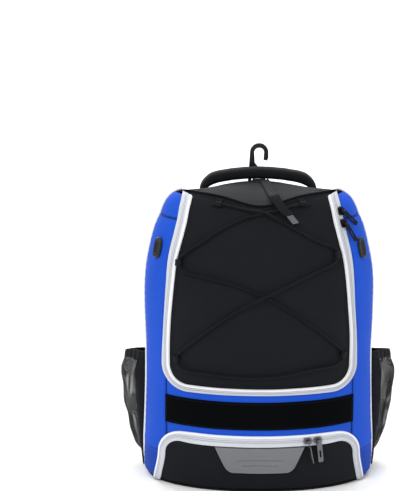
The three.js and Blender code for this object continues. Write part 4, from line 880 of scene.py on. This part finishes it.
def bandShell(name, line, widthOf, bound, rows, **kept):
    t = np.linspace(-1, 1, rows)
    fine = 1e-3
    fromX, fromZ = line.at(np.maximum(t - fine, -1))
    toX, toZ = line.at(np.minimum(t + fine, 1))
    middleX, middleZ = line.at(t)
    length = np.hypot(toX - fromX, toZ - fromZ)
    width = widthOf(np.abs(t))
    share = np.concatenate([np.linspace(-0.5, -0.36, 6), np.linspace(-0.34, 0.34, 30), np.linspace(0.36, 0.5, 6)])
    off = share[None, :] * width[:, None]
    x = middleX[:, None] - ((toZ - fromZ) / length)[:, None] * off
    z = middleZ[:, None] + ((toX - fromX) / length)[:, None] * off
    lift = tapeLift(off, width[:, None], bound)
    binding = smooth((off - width[:, None] / 2 + 2 * tape["bindingHalf"]) / 0.5)
    return shellMesh(name, onFront(x, z, lift), onFront(x, z, 0.2 + 0 * lift), (0, -1, 0), binding, **kept)


zipWidths = np.array([(0.0, 9.6), (0.22, 10.5), (0.36, 12.0), (0.5, 10.4), (0.62, 10.8), (0.8, 13.6), (1.0, 14.6)])


def zipWidth(t): return readTable(zipWidths, 1, t)
def archWidth(t): return mix(17.5, 10.0, smooth((t - 0.45) / (archLine.sideShare - 0.45)))


bandShell("frontZipper", zipLine, zipWidth, 1, 400, material=whiteTape, stands=["front_zipper"], slotName="white_tape")
bandShell("shoeZipper", archLine, archWidth, 1, 230, material=whiteTape, stands=["shoe_zipper"], slotName="white_tape")

strip = dict(low=98, high=140, half=138, thickness=2.0)
stripX, stripZ = np.meshgrid((2 * crowded(120, 1.3) - 1) * strip["half"], mix(strip["low"], strip["high"], crowded(26, 1.6)))
stripEdge = np.minimum(strip["half"] - np.abs(stripX), np.minimum(stripZ - strip["low"], strip["high"] - stripZ))
stripLift = 0.9 + strip["thickness"] * smooth(stripEdge / 1.4 + 0.25) - 0.55 * np.exp(-((stripEdge - 2.6) / 0.8) ** 2)
stripWave = 0.12 * np.sin(stripX / 1.9 + 2 * np.sin(stripZ / 5)) * np.sin(stripZ / 1.7)
shellMesh("loopStrip", onFront(stripX, stripZ, stripLift + stripWave * smooth(stripEdge / 3)),
          onFront(stripX, stripZ, 0.3 + 0 * stripLift), (0, -1, 0), material=loopCloth, stands=["loop_strip"],
          slotName="black_loop")

badge = dict(top=65.5, bottom=46, low=32, high=70.3, corner=9.0, seat=0.4, thickness=2.6, rim=1.0, groove=1.1)
badgeU, badgeV = np.meshgrid(np.linspace(-1, 1, 151), np.linspace(0, 1, 61))
badgeTall = badge["high"] - badge["low"]


def badgeHalf(v):
    # straight slanted sides that round in towards the lower corners
    straight = mix(badge["bottom"], badge["top"], v ** 0.85)
    down = np.clip(1 - v * badgeTall / badge["corner"], 0, 1)
    return straight - badge["corner"] * (1 - np.sqrt(np.maximum(1 - down ** 2, 0)))


badgeX, badgeZ = badgeU * badgeHalf(badgeV), mix(badge["low"], badge["high"], badgeV)
badgeEdge = np.minimum((1 - np.abs(badgeU)) * badgeHalf(badgeV), badgeV * badgeTall)
rimShape = badge["rim"] * smooth(badgeEdge / 0.8) * smooth((3.2 - badgeEdge) / 1.1)
badgeLift = badge["seat"] + badge["thickness"] * smooth(badgeEdge / 1.1 + 0.2) + rimShape
for barZ, barHalf, barSag in ((51.5, 34, 1.6), (43.5, 27, 1.2)):
    away = badgeZ - barZ + barSag * (badgeX / barHalf) ** 2
    within = smooth((barHalf - np.abs(badgeX)) / 2.5)
    badgeLift = badgeLift - badge["groove"] * np.exp(-(away / 0.9) ** 2) * within
    badgeLift = badgeLift + 0.5 * np.exp(-((away - 2.6) / 1.3) ** 2) * within
shellMesh("badge", onFront(badgeX, badgeZ, badgeLift), onFront(badgeX, badgeZ, 0.2 + 0 * badgeLift), (0, -1, 0),
          material=greyRubber, stands=["badge"], slotName="grey_rubber")

eyelet = dict(height=355, half=(9.0, 15.5), hole=(4.0, 10.5), thickness=3.0)
for label, side in (("left", -1), ("right", 1)):
    turnAt = mix(float(gussetStart(np.array(355.0))), math.pi / 2, 0.42)
    centre = turningPoint(side, turnAt, 355.0)
    normal = frontNormal(centre[0], centre[2])
    across = unit(np.cross((0, 0, 1.0), normal))
    upward = np.cross(normal, across)
    turn = np.arange(48) / 48 * 2 * math.pi
    squarish = np.stack([np.sign(np.cos(turn)) * np.abs(np.cos(turn)) ** 0.7,
                         np.sign(np.sin(turn)) * np.abs(np.sin(turn)) ** 0.7], -1)
    # half sizes and heights of the rings from the outer foot over the rim and down into the hole, which a black disc
    # closes: painted shade standing for the dark inside of the hole
    rings = [(9.0, 15.5, 0.0), (9.0, 15.5, 1.2), (8.7, 15.2, 2.2), (7.9, 14.4, 2.9), (6.6, 13.1, 3.0), (5.4, 11.9, 2.6),
             (4.7, 11.2, 1.8), (4.4, 10.9, 0.9), (2.5, 8.0, 0.75), (0.01, 0.01, 0.7)]
    loops = np.stack([centre + across * (squarish[:, :1] * w) + upward * (squarish[:, 1:] * h) + normal * (z + 0.1)
                      for w, h, z in rings])
    count, sides = loops.shape[:2]
    ring, spot = np.meshgrid(np.arange(count - 1), np.arange(sides), indexing="ij")
    faces = np.stack([ring * sides + spot, ring * sides + (spot + 1) % sides, (ring + 1) * sides + (spot + 1) % sides,
                      (ring + 1) * sides + spot], -1).reshape(-1, 4)
    back = list(range(sides))[::-1]
    putMesh("eyelet_" + label, loops, [list(f) for f in faces] + [back], material=blackPlastic,
            stands=["eyelet_" + label], slotName="black_plastic")
blackThread = mouldedMaterial("blackThread", (0.010, 0.011, 0.013), (0.022, 0.023, 0.026), 0.6, 0.2, 0.00001)
blueThread = mouldedMaterial("blueThread", (0.006, 0.05, 0.36), (0.012, 0.08, 0.5), 0.6, 0.2, 0.00001)


def beside(line, widthOf, away, lift, first=-1.0, last=1.0):
    # a sewn row at a steady distance beside a zipper's middle line, inside it or outside
    t = np.linspace(first, last, 260)
    fromX, fromZ = line.at(t - 1e-3)
    toX, toZ = line.at(t + 1e-3)
    x, z = line.at(t)
    length = np.hypot(toX - fromX, toZ - fromZ)
    off = widthOf(np.abs(t)) / 2 * np.sign(away) + away
    x, z = x - (toZ - fromZ) / length * off, z + (toX - fromX) / length * off
    return onFront(x, z, lift), frontNormal(x, z)


def rectangle(low, high, half, lift):
    corners = [(-half, low), (half, low), (half, high), (-half, high), (-half, low)]
    x = np.concatenate([np.linspace(a[0], b[0], 60) for a, b in zip(corners, corners[1:])])
    z = np.concatenate([np.linspace(a[1], b[1], 60) for a, b in zip(corners, corners[1:])])
    return onFront(x, z, lift), frontNormal(x, z)


stitches("stitchesBlack", [beside(zipLine, zipWidth, 3.0, 0.7, -0.97, 0.97), beside(archLine, archWidth, -3.0, 0.4, -0.9, 0.9),
                           rectangle(100.6, 137.4, 135.4, 2.45)], blackThread)
stitches("stitchesBlue", [beside(zipLine, zipWidth, -2.4, 0.1, -0.8, 0.8), beside(archLine, archWidth, 2.4, 0.1, -0.85, 0.85)],
         blueThread)
print("front trim ready")


# ---- mesh bat pockets: net that bellies out from the piping to the back corner, gathered in soft folds
pocket = dict(low=8.0, high=186.0, hem=13.0, wall=2.0, reach=209.0, closing=0.16, seam=0.9)
def pocketTop(s): return pocket["high"] - 12.0 * smooth(s)


pocketRows = np.array([(0.00, 0.835), (0.08, 0.880), (0.27, 0.935), (0.48, 0.975), (0.66, 0.992), (0.82, 1.000),
                       (0.90, 0.968), (1.00, 0.955)])


def pocketPoint(side, s, z):
    # from rest against the side panel at both seams to the pocket's reach in the middle, closing at its foot
    s, z = np.broadcast_arrays(np.asarray(s, float), np.asarray(z, float))
    y = mix(pipingRoom + pocket["seam"], body["back"] - body["backRound"], s)
    rest = sideX(y, z) + pocket["wall"] + 2 * body["gap"]
    share = (z - pocket["low"]) / (pocket["high"] - pocket["low"])
    reach = pocket["reach"] * readTable(pocketRows, 1, share)
    foot = 1 - np.minimum(share / pocket["closing"], 1)
    belly = np.sin(math.pi * np.clip(s, 0, 1)) ** 0.6 * np.sqrt(np.maximum(1 - foot ** 2, 0))
    return stack(side * mix(rest, np.maximum(reach, rest), belly), y, z)


netFold = dict(height=1.1, columns=92, rows=84)
for label, side in (("left", -1), ("right", 1)):
    s, v = np.meshgrid((1 - np.cos(np.linspace(0, math.pi, netFold["columns"] + 1))) / 2, np.linspace(0, 1, netFold["rows"] + 1))
    meshTop = pocketTop(s) - pocket["hem"] + 1.0
    z = mix(pocket["low"], meshTop, v ** 1.3)
    base = pocketPoint(side, s, z)
    normals = gridNormals(base, (side, 0, 0))[0]
    arc, rise = arcsOf(base)
    held = smooth(np.minimum(s, 1 - s) / 0.12) * smooth((meshTop - z) / 18) * smooth((z - pocket["low"]) / 24)
    folds = np.sin(arc / 5.2 + 2.2 * np.sin(z / 34 + side) + 0.8 * np.sin(z / 13))
    creases = np.sin(z / 6.5 + 1.7 * np.sin(arc / 19) + arc / 11)
    lift = netFold["height"] * (folds * 0.8 + creases * 0.35) * held - netFold["height"] * 0.9 * held
    gathers = 0.5 * np.sin(arc / 1.9) * np.exp(-((meshTop - z) / 9) ** 2)
    outer = base + normals * (lift + gathers)[..., None]
    netPiece = shellMesh("meshPocket_" + label, outer, outer - normals * 0.6, (side, 0, 0), material=pocketNet,
                         stands=["mesh_pocket_" + label], slotName="black_mesh")
    wide, tall = arcsOf(outer)
    # a band of plain cloth along the net's front seam, over the net
    border = int(np.searchsorted(arc[-1], 15.0))
    band, bandUp = outer[:, :border] + normals[:, :border] * 0.5, normals[:, :border]
    drawn = 0.45 * np.sin(z[:, :border] / 3.1 + arc[:, :border] / 4) * held[:, :border]
    shellMesh("pocketBorder_" + label, band + bandUp * (0.5 + drawn)[..., None], band - bandUp * 0.3, (side, 0, 0),
              material=blackCloth, slotName="black_fabric")

    # the bound edge at the mouth, drawn in by its elastic
    s, v = np.meshgrid((1 - np.cos(np.linspace(0, math.pi, 161))) / 2, np.linspace(0, 1, 15))
    z = pocketTop(s) - pocket["hem"] * (1 - v)
    base = pocketPoint(side, s, z)
    normals = gridNormals(base, (side, 0, 0))[0]
    arc = arcsOf(base)[0]
    held = smooth(np.minimum(s, 1 - s) / 0.08)
    ruche = 0.45 * np.sin(arc / 1.55 + 0.6 * np.sin(arc / 7)) * held
    puff = 0.9 * np.sqrt(np.clip(1 - (2 * v - 1) ** 2, 0, 1))
    dip = -0.7 * np.exp(-((v - 0.2) / 0.05) ** 2) - 0.5 * np.exp(-((v - 0.82) / 0.05) ** 2)
    lip = 0.5 * np.sin(arc / 9 + side) * v * held
    outer = base + normals * (0.3 + ruche + puff + dip)[..., None] + stack(0, 0, lip)
    shellMesh("pocketHem_" + label, outer, base - normals * (pocket["wall"] - 0.1 + 0.5 * puff)[..., None] + stack(0, 0, lip),
              (side, 0, 0), material=blackStrap, stands=["pocket_hem_" + label], slotName="black_webbing")

    # a webbing sleeve that holds the handle end of a bat against the side
    s, v = np.meshgrid((1 - np.cos(np.linspace(0, math.pi, 91))) / 2, np.linspace(0, 1, 23))
    y = mix(pipingRoom + 2, body["back"] - body["backRound"], s)
    z = mix(338.0, 384.0, v)
    rest = sideX(y, z) + 1.6 + body["gap"]
    bowed = np.sin(math.pi * s) ** 0.5
    base = stack(side * mix(rest, np.maximum(halfAt(z) - 4, rest), bowed), y, z)
    normals = gridNormals(base, (side, 0, 0))[0]
    edge = np.minimum(z - 338, 384 - z)
    lift = 0.25 - 0.5 * np.exp(-(edge / 0.8) ** 2) - 0.4 * np.exp(-((edge - 3.0) / 0.6) ** 2) + 0.5 * np.sin(z / 9 + y / 17)
    outer = base + normals * lift[..., None]
    shellMesh("batSleeve_" + label, outer, outer - normals * 1.5, (side, 0, 0), material=blackStrap,
              stands=["bat_sleeve_" + label], slotName="black_webbing")
print("pockets ready")

# ---- lacing: one elastic cord through six sewn loops, over the flap
lacing = dict(radius=2.0, lift=0.8, wall=1.5, clearance=1.3, crossing=4.8, loopWidth=10.0, tail=8.0)
cordSeat = lacing["lift"] + lacing["wall"] + lacing["clearance"] + lacing["radius"]
# x and z as shares of the half width and height; 1 where a strand passes over another
lacingRoute = np.array([
    (-0.405, 0.9680, 0), (-0.345, 0.9715, 0), (-0.270, 0.9680, 0), (-0.120, 0.9570, 0), (0.030, 0.9460, 1),
    (0.170, 0.9200, 0), (0.340, 0.8830, 0), (0.500, 0.8480, 0), (0.600, 0.8310, 0), (0.630, 0.8190, 0),
    (0.630, 0.7910, 0), (0.600, 0.7780, 0), (0.470, 0.7570, 0), (0.220, 0.7160, 0), (0.030, 0.6820, 1),
    (-0.180, 0.6380, 0), (-0.430, 0.5650, 0), (-0.630, 0.4920, 0), (-0.685, 0.4670, 0), (-0.685, 0.4390, 0),
    (-0.630, 0.4210, 0), (-0.430, 0.4130, 0), (-0.140, 0.4070, 0), (0.140, 0.4120, 0), (0.420, 0.4270, 0),
    (0.630, 0.4390, 0), (0.685, 0.4550, 0), (0.685, 0.4830, 0), (0.630, 0.5050, 0), (0.480, 0.5610, 0),
    (0.270, 0.6250, 0), (0.030, 0.6820, 0), (-0.250, 0.7220, 0), (-0.520, 0.7420, 0), (-0.630, 0.7510, 0),
    (-0.665, 0.7650, 0), (-0.665, 0.7930, 0), (-0.630, 0.8070, 0), (-0.500, 0.8460, 0), (-0.300, 0.9000, 0),
    (-0.120, 0.9330, 0), (0.030, 0.9460, 0), (0.150, 0.9560, 0), (0.260, 0.9660, 0), (0.345, 0.9715, 0),
    (0.405, 0.9680, 0)])
lacingKnots = onFront(lacingRoute[:, 0] * body["half"], lacingRoute[:, 1] * body["height"],
                      cordSeat + lacingRoute[:, 2] * lacing["crossing"])
lacingFine = curveThrough(lacingKnots, 24)
lacingPath = evened(lacingFine, 1.6)
outwards = frontNormal(lacingPath[:, 0], lacingPath[:, 2])
frames = tubeFrames(lacingPath, outwards)
swell = 1 + 0.04 * np.sin(np.arange(len(lacingPath)) * 0.9)
sweep("lacingCord", lacingPath, frames[1], frames[2], roundProfile(lacing["radius"], 10) * swell[:, None, None],
      material=cordBraid, stands=["lacing_cord"], slotName="black_webbing")

for index, row in enumerate([1, 9.5, 18.5, 26.5, 35.5, 44]):
    at = min(int(round(row * 24)), len(lacingFine) - 2)
    centre = lacingFine[at]
    along = unit(lacingFine[at + 1] - lacingFine[at - 1])
    normal = frontNormal(centre[0], centre[2])
    normal = unit(normal - along * (normal @ along))
    outward = np.cross(normal, along)
    if outward @ (centre - np.array([0, 0, 0.7 * body["height"]])) < 0:
        outward, along = -outward, -along
    # the webbing's middle line: from the tail on the flap, round the cord and back to the tail
    radius = lacing["radius"] + 1.25
    foot = -radius - 0.35
    turn = np.linspace(-90, 205, 30) * math.pi / 180
    ringLine = np.stack([radius * np.cos(turn), radius * np.sin(turn)], -1)
    tailLine = np.stack([np.linspace(lacing["tail"] + 1, 0.9, 6), np.full(6, foot)], -1)
    line = np.concatenate([tailLine, ringLine[3:], np.stack([np.linspace(-0.6, lacing["tail"], 7), np.full(7, foot + 1.15)], -1)[3:]])
    line = evened(np.concatenate([line, np.zeros((len(line), 1))], 1), 0.7)[:, :2]
    path = centre + line[:, :1] * outward + line[:, 1:2] * normal
    tangent = unit(np.gradient(path, axis=0))
    side = np.cross(tangent, along)
    sweep(f"cordLoop_{index + 1}", path, np.broadcast_to(along, path.shape), side,
          strapProfile(lacing["loopWidth"] - 0.6, 1.0) - np.array([0, 0.5]), material=blackStrap,
          stands=[f"cord_loop_{index + 1}"], slotName="black_webbing")

# ---- strap over the top panel and down the flap, with a stiff end
gloveStrap = dict(width=14.0, thickness=1.6)
strapRise = cordSeat + lacing["radius"] + body["gap"]
t = np.linspace(0, 1, 10)
hoodU, hoodV = mix(0.08, 0.2, t), mix(0.86, 0.03, t ** 0.8)
fine = 0.01
across = unit(hoodPoint(hoodU + fine, hoodV) - hoodPoint(hoodU - fine, hoodV))
upward = hoodPoint(hoodU, hoodV + fine) - hoodPoint(hoodU, np.maximum(hoodV - fine, 0))
normal = unit(np.cross(across, upward))
places = hoodPoint(hoodU, hoodV) + normal * (1.6 + strapRise * smooth(1 - hoodV / 0.25))[:, None]


def frontStrap(shares):
    x, z = shares[:, 0] * body["half"], shares[:, 1] * body["height"]
    up = frontNormal(x, z)
    over = unit(np.array([1, 0, 0.3]) - up * (up @ np.array([1, 0, 0.3]))[:, None])
    return onFront(x, z, strapRise), over, up


low = frontStrap(np.array([(0.175, 0.958), (0.2, 0.949), (0.235, 0.936)]))
knots = [np.concatenate(pair) for pair in zip((places, across, normal), low)]
smoothed = [curveThrough(k, 8) for k in knots]
strapBend = 0.35 * np.sin(np.arange(len(smoothed[0])) / 7.0)
sweep("gloveStrap", smoothed[0] + smoothed[2] * strapBend[:, None], unit(smoothed[1]), unit(smoothed[2]),
      strapProfile(gloveStrap["width"], gloveStrap["thickness"]), material=blackStrap, stands=["glove_strap"],
      slotName="black_webbing")
low = frontStrap(np.array([(0.2366, 0.9352), (0.262, 0.923), (0.285, 0.912)]))
smoothed = [curveThrough(k, 8) for k in low]
endWidth = 10.2 - 1.2 * np.exp(-((np.linspace(0, 1, len(smoothed[0])) - 1) / 0.08) ** 2)
sweep("strapEnd", smoothed[0], unit(smoothed[1]), unit(smoothed[2]), strapProfile(endWidth, 2.2, 7, 0.3),
      material=darkMetal, stands=["strap_end"], slotName="grey_metal")

# ---- grab handle: a padded roll of webbing that arches over the back of the top panel
handle = dict(halfSpan=79.0, rise=19.0, thickness=10.0, width=26.0, depthPlace=70.0)


def hoodHeightAt(x, y):
    u = min(abs(x) / body["backTopHalf"], 1)
    start = hoodPoint(u, 0.0)[1]
    return hoodPoint(u, (y - start) / (body["back"] - start))[2]


handleFoot = hoodHeightAt(handle["halfSpan"] - 7.5, handle["depthPlace"] - 13) + 0.8
padding = 17.0
under = body["height"] + handle["rise"] - padding
shape = np.array([(1, -0.75), (0.965, -0.1), (0.84, 0.36), (0.6, 0.7), (0.3, 0.92), (0, 1)])
shape = np.concatenate([shape, shape[-2::-1] * [-1, 1]])
arch = stack(-shape[:, 0] * handle["halfSpan"], handle["depthPlace"], mix(handleFoot, under, shape[:, 1]))
path = evened(curveThrough(arch, 14), 2.2)
across = np.broadcast_to([0.0, 1.0, 0.0], path.shape)
normal = -np.cross(across, unit(np.gradient(path, axis=0)))
if normal[len(normal) // 2, 2] < 0:
    normal = -normal
share = np.linspace(0, 1, len(path))
thick = padding * mix(0.6, 1, smooth(np.minimum(share, 1 - share) / 0.14))
turn = np.arange(28) / 28 * 2 * math.pi
rolled = np.stack([np.sign(np.cos(turn)) * np.abs(np.cos(turn)) ** 0.55, np.sign(np.sin(turn)) * np.abs(np.sin(turn)) ** 0.75], -1)
bulge = 1 + 0.015 * np.sin(share * 60)[:, None] * np.sin(3 * turn)
profile = np.stack([rolled[:, 0] * handle["width"] / 2 * bulge, (rolled[:, 1] * bulge * 0.5 + 0.5) * thick[:, None]], -1)
grab = sweep("grabHandle", path, across, normal, profile, material=blackStrap, stands=["grab_handle"],
             slotName="black_webbing")

# ---- webbing tab that holds the hook: down the back, round the hook's foot and back
hookFoot = body["backTop"] - 2.0
backX = body["back"] + body["gap"]
lowZ, highZ = hookFoot - 1.3, hookFoot + 6.5 * 0.75 + 1.3
farY = backX + 2 * 1.6 + 6.5 + 3 * body["gap"] - 0.8
loopLine = np.array([(backX + 0.8, lowZ - 34), (backX + 0.8, lowZ - 10), (backX + 0.8, lowZ), (backX + 0.8, highZ - 1),
                     (backX + 2.2, highZ), (farY - 1.4, highZ), (farY, highZ - 1), (farY, lowZ + 1), (farY - 1.4, lowZ),
                     (backX + 4.2, lowZ - 2.5), (backX + 2.5, lowZ - 7), (backX + 2.5, lowZ - 33)])
line = evened(curveThrough(np.concatenate([np.zeros((len(loopLine), 1)), loopLine], 1), 8), 1.0)
path = line + np.array([2.0, 0, 0])
across = np.broadcast_to([1.0, 0.0, 0.0], path.shape)
normal = np.cross(unit(np.gradient(path, axis=0)), across)
sweep("hookTab", path, across, normal, strapProfile(20.0, 1.4) - np.array([0, 0.7]), material=blackStrap,
      stands=["hook_tab"], slotName="black_webbing")
print("top and lacing ready")

# ---- back: foam pads in spacer net, padded shoulder straps, webbing
backPad = dict(thickness=9.0, channel=11.0, margin=16.0, low=40.0, high=380.0, groove=2.4)


def evaluatedMesh(piece):
    bpy.context.view_layer.update()
    return bpy.data.meshes.new_from_object(piece.evaluated_get(bpy.context.evaluated_depsgraph_get()))


def cornersOf(mesh):
    flat = np.zeros(len(mesh.vertices) * 3)
    mesh.vertices.foreach_get("co", flat)
    return flat.reshape(-1, 3)


def inflate(piece, cap, voxel=0.0035, shape=None):
    # swells a closed piece as cloth under pressure, each point kept near its start, then one subdivision
    remesh = piece.modifiers.new("remesh", "REMESH")
    remesh.mode, remesh.voxel_size, remesh.use_smooth_shade = "VOXEL", voxel, True
    solid = evaluatedMesh(piece)
    piece.modifiers.clear()
    kept = list(piece.data.materials)
    piece.data = solid
    start = cornersOf(solid)
    cloth = piece.modifiers.new("cloth", "CLOTH")
    cloth.settings.use_pressure = True
    cloth.settings.uniform_pressure_force = 4.0
    cloth.settings.effector_weights.gravity = 0.0
    for step in range(1, 21):
        bpy.context.scene.frame_set(step)
    way = cornersOf(evaluatedMesh(piece)) - start
    far = np.linalg.norm(way, axis=1, keepdims=True)
    piece.modifiers.clear()
    bpy.context.scene.frame_set(1)
    solid.vertices.foreach_set("co", (start + way * np.minimum(1, cap / np.maximum(far, 1e-9))).ravel())
    finer = piece.modifiers.new("finer", "SUBSURF")
    finer.levels = finer.render_levels = 1
    solid = evaluatedMesh(piece)
    piece.modifiers.clear()
    points = cornersOf(solid) * 1000
    points[:, 1] = np.maximum(points[:, 1], body["back"] + 0.3)
    if shape is not None:
        points = shape(points)
    solid.vertices.foreach_set("co", (points * 0.001).ravel())
    solid.polygons.foreach_set("use_smooth", np.ones(len(solid.polygons), bool))
    solid.materials.clear()
    for material in kept:
        solid.materials.append(material)
    solid.update()
    piece.data = solid


def quilted(points):
    # three sewn channels that slope down towards the spine
    low = points[:, 2:3] - 0.28 * np.abs(points[:, :1]) - np.array([98.0, 178.0, 258.0])
    sunk = backPad["groove"] * np.exp(-(low / 2.4) ** 2).sum(-1) * smooth((points[:, 1] - body["back"] - 2) / 3)
    return points - stack(0 * sunk, sunk, 0 * sunk)


for label, side in (("left", -1), ("right", 1)):
    u, v = np.meshgrid(np.linspace(0, 1, 41), np.linspace(0, 1, 121))
    z = mix(backPad["low"] + 2, backPad["high"] - 2, v)
    inner, outerX = backPad["channel"] + 1.5, sideAt(z) - body["backRound"] - backPad["margin"] - 1.5
    # corners round in, so the side edges draw closer together near both ends
    round_ = 12 * (1 - np.sqrt(np.clip(1 - np.clip(1 - np.minimum(z - 42, 378 - z) / 12, 0, 1) ** 2, 0, 1)))
    x = mix(inner + round_, outerX - round_, u)
    crown = np.sqrt(np.clip(1 - (2 * u - 1) ** 4, 0, 1)) * np.sqrt(np.clip(1 - (2 * v - 1) ** 16, 0, 1))
    outer = stack(side * x, body["back"] + body["gap"] + 1.0 + (backPad["thickness"] - 2.5) * crown, z)
    innerGrid = stack(side * x, body["back"] + body["gap"] + 0.2 + 0 * x, z)
    pad = shellMesh("backPad_" + label, outer, innerGrid, (0, 1, 0), material=padNet,
                    stands=["back_pad_" + label], slotName="black_mesh")
    inflate(pad, 0.0025, shape=quilted)

harnessReach = 34.0
padRoute = np.array([(0.40, 0.10, 0.925), (0.41, 0.52, 0.930), (0.44, 0.86, 0.885), (0.50, 1.00, 0.800),
                     (0.56, 1.00, 0.690), (0.61, 0.92, 0.560), (0.65, 0.72, 0.450), (0.68, 0.60, 0.385)])
webbingRoute = np.array([(0.70, 0.60, 0.355), (0.73, 0.62, 0.290), (0.78, 0.58, 0.200), (0.84, 0.36, 0.110),
                         (0.87, 0.13, 0.062), (0.88, 0.023, 0.040)])


def harnessPoint(side, route):
    z = route[:, 2] * body["height"]
    return stack(side * route[:, 0] * (sideAt(z) - body["backRound"]), body["back"] + route[:, 1] * harnessReach, z)


def alongX(path):
    tangent = unit(np.gradient(path, axis=0))
    across = unit(np.array([1.0, 0, 0]) - tangent * tangent[:, :1])
    return across, -np.cross(tangent, across)


for label, side in (("left", -1), ("right", 1)):
    path = evened(curveThrough(harnessPoint(side, padRoute), 12), 4.0)
    across, normal = alongX(path)
    if normal[len(path) // 2, 1] < 0:
        normal = -normal
    share = np.linspace(0, 1, len(path))
    width = 62 * mix(1, 0.62, smooth((share - 0.72) / 0.28)) - 1.0
    thick = 12 * mix(0.35, 1, smooth(np.minimum(share, 1 - share) / 0.12)) - 0.6
    turn = np.arange(44) / 44 * 2 * math.pi
    flatX = np.sign(np.cos(turn)) * np.abs(np.cos(turn)) ** 0.45
    flatY = np.sign(np.sin(turn)) * np.abs(np.sin(turn)) ** 0.62
    # a bound edge: a shallow groove a little way in from each side
    groove = 0.85 * np.exp(-((np.abs(flatX) - 0.84) / 0.035) ** 2)
    profile = np.stack([flatX * width[:, None] / 2, (flatY * (1 - groove * 0.28) * 0.5 + 0.5) * thick[:, None]], -1)
    pad = sweep("shoulderPad_" + label, path, across, normal, profile, material=padCloth,
                stands=["shoulder_pad_" + label], slotName="black_fabric")
    inflate(pad, 0.0018)
    path = evened(curveThrough(harnessPoint(side, webbingRoute), 10), 3.0)
    across, normal = alongX(path)
    if normal[0, 1] < 0:
        normal = -normal
    sweep("shoulderWebbing_" + label, path, across, normal, strapProfile(25, 1.6), material=blackStrap,
          stands=["shoulder_webbing_" + label], slotName="black_webbing")

# ---- hard pieces kept from the solids: their corners are rounded, and they get their own finish
for nodeName, material, radius in (("fence_hook", blackPlastic, 0.0012), ("ladder_buckle_left", blackPlastic, 0.0009),
                                   ("ladder_buckle_right", blackPlastic, 0.0009)) + tuple(
        (f"zip_{kind}_{n}", blackMetal if n < 3 else darkMetal, 0.0003) for kind in ("slider", "pull") for n in (1, 2, 3, 4)):
    kept = nodes[nodeName]
    kept.data.materials.clear()
    kept.data.materials.append(material)
    weld = kept.modifiers.new("weld", "WELD")
    weld.merge_threshold = 0.00001
    bevel = kept.modifiers.new("bevel", "BEVEL")
    bevel.width, bevel.segments, bevel.limit_method = radius, 3, "ANGLE"
    bevel.angle_limit = math.radians(35)
    bevel.harden_normals = True
print("back and hard pieces ready")

# ---- floor, backdrop and light
stage = dict(floorSize=14.0, floorTone=(0.93, 0.93, 0.93), worldTone=(0.985, 0.99, 1.0), worldLight=0.72)
floorMesh = bpy.data.meshes.new("floor")
reach = stage["floorSize"]
floorMesh.from_pydata([(-reach, -reach, 0), (reach, -reach, 0), (reach, reach, 0), (-reach, reach, 0)], [], [(0, 1, 2, 3)])
floor = bpy.data.objects.new("floor", floorMesh)
bpy.context.scene.collection.objects.link(floor)
floorMaterial, floorTree, floorShader = startMaterial("paleFloor", 0.8, 0.1)
floorShader.inputs["Base Color"].default_value = (*stage["floorTone"], 1.0)
floorMesh.materials.append(floorMaterial)

world = bpy.data.worlds.new("studio")
world.use_nodes = True
world.node_tree.nodes["Background"].inputs["Color"].default_value = (*stage["worldTone"], 1.0)
world.node_tree.nodes["Background"].inputs["Strength"].default_value = stage["worldLight"]
bpy.context.scene.world = world
bpy.context.scene.view_settings.view_transform = "Standard"

lamps = [dict(name="key", place=(-1.1, -2.0, 2.3), aim=(0.0, 0.0, 0.22), size=1.2, power=38),
         dict(name="fill", place=(2.0, -1.8, 1.1), aim=(0.0, 0.0, 0.22), size=1.6, power=12),
         dict(name="top", place=(0.1, 0.6, 2.4), aim=(0.0, 0.0, 0.22), size=1.6, power=22),
         dict(name="back", place=(-1.4, 2.3, 1.3), aim=(0.0, 0.0, 0.22), size=1.2, power=20),
         dict(name="backdrop", place=(0.0, 6.5, 4.5), aim=(0.0, 6.5, 0.0), size=9.0, power=420)]
for lamp in lamps:
    light = bpy.data.lights.new(lamp["name"], "AREA")
    light.size, light.energy = lamp["size"], lamp["power"]
    holder = bpy.data.objects.new(lamp["name"], light)
    holder.location = lamp["place"]
    holder.rotation_euler = (Vector(lamp["aim"]) - holder.location).to_track_quat("-Z", "Y").to_euler()
    bpy.context.scene.collection.objects.link(holder)
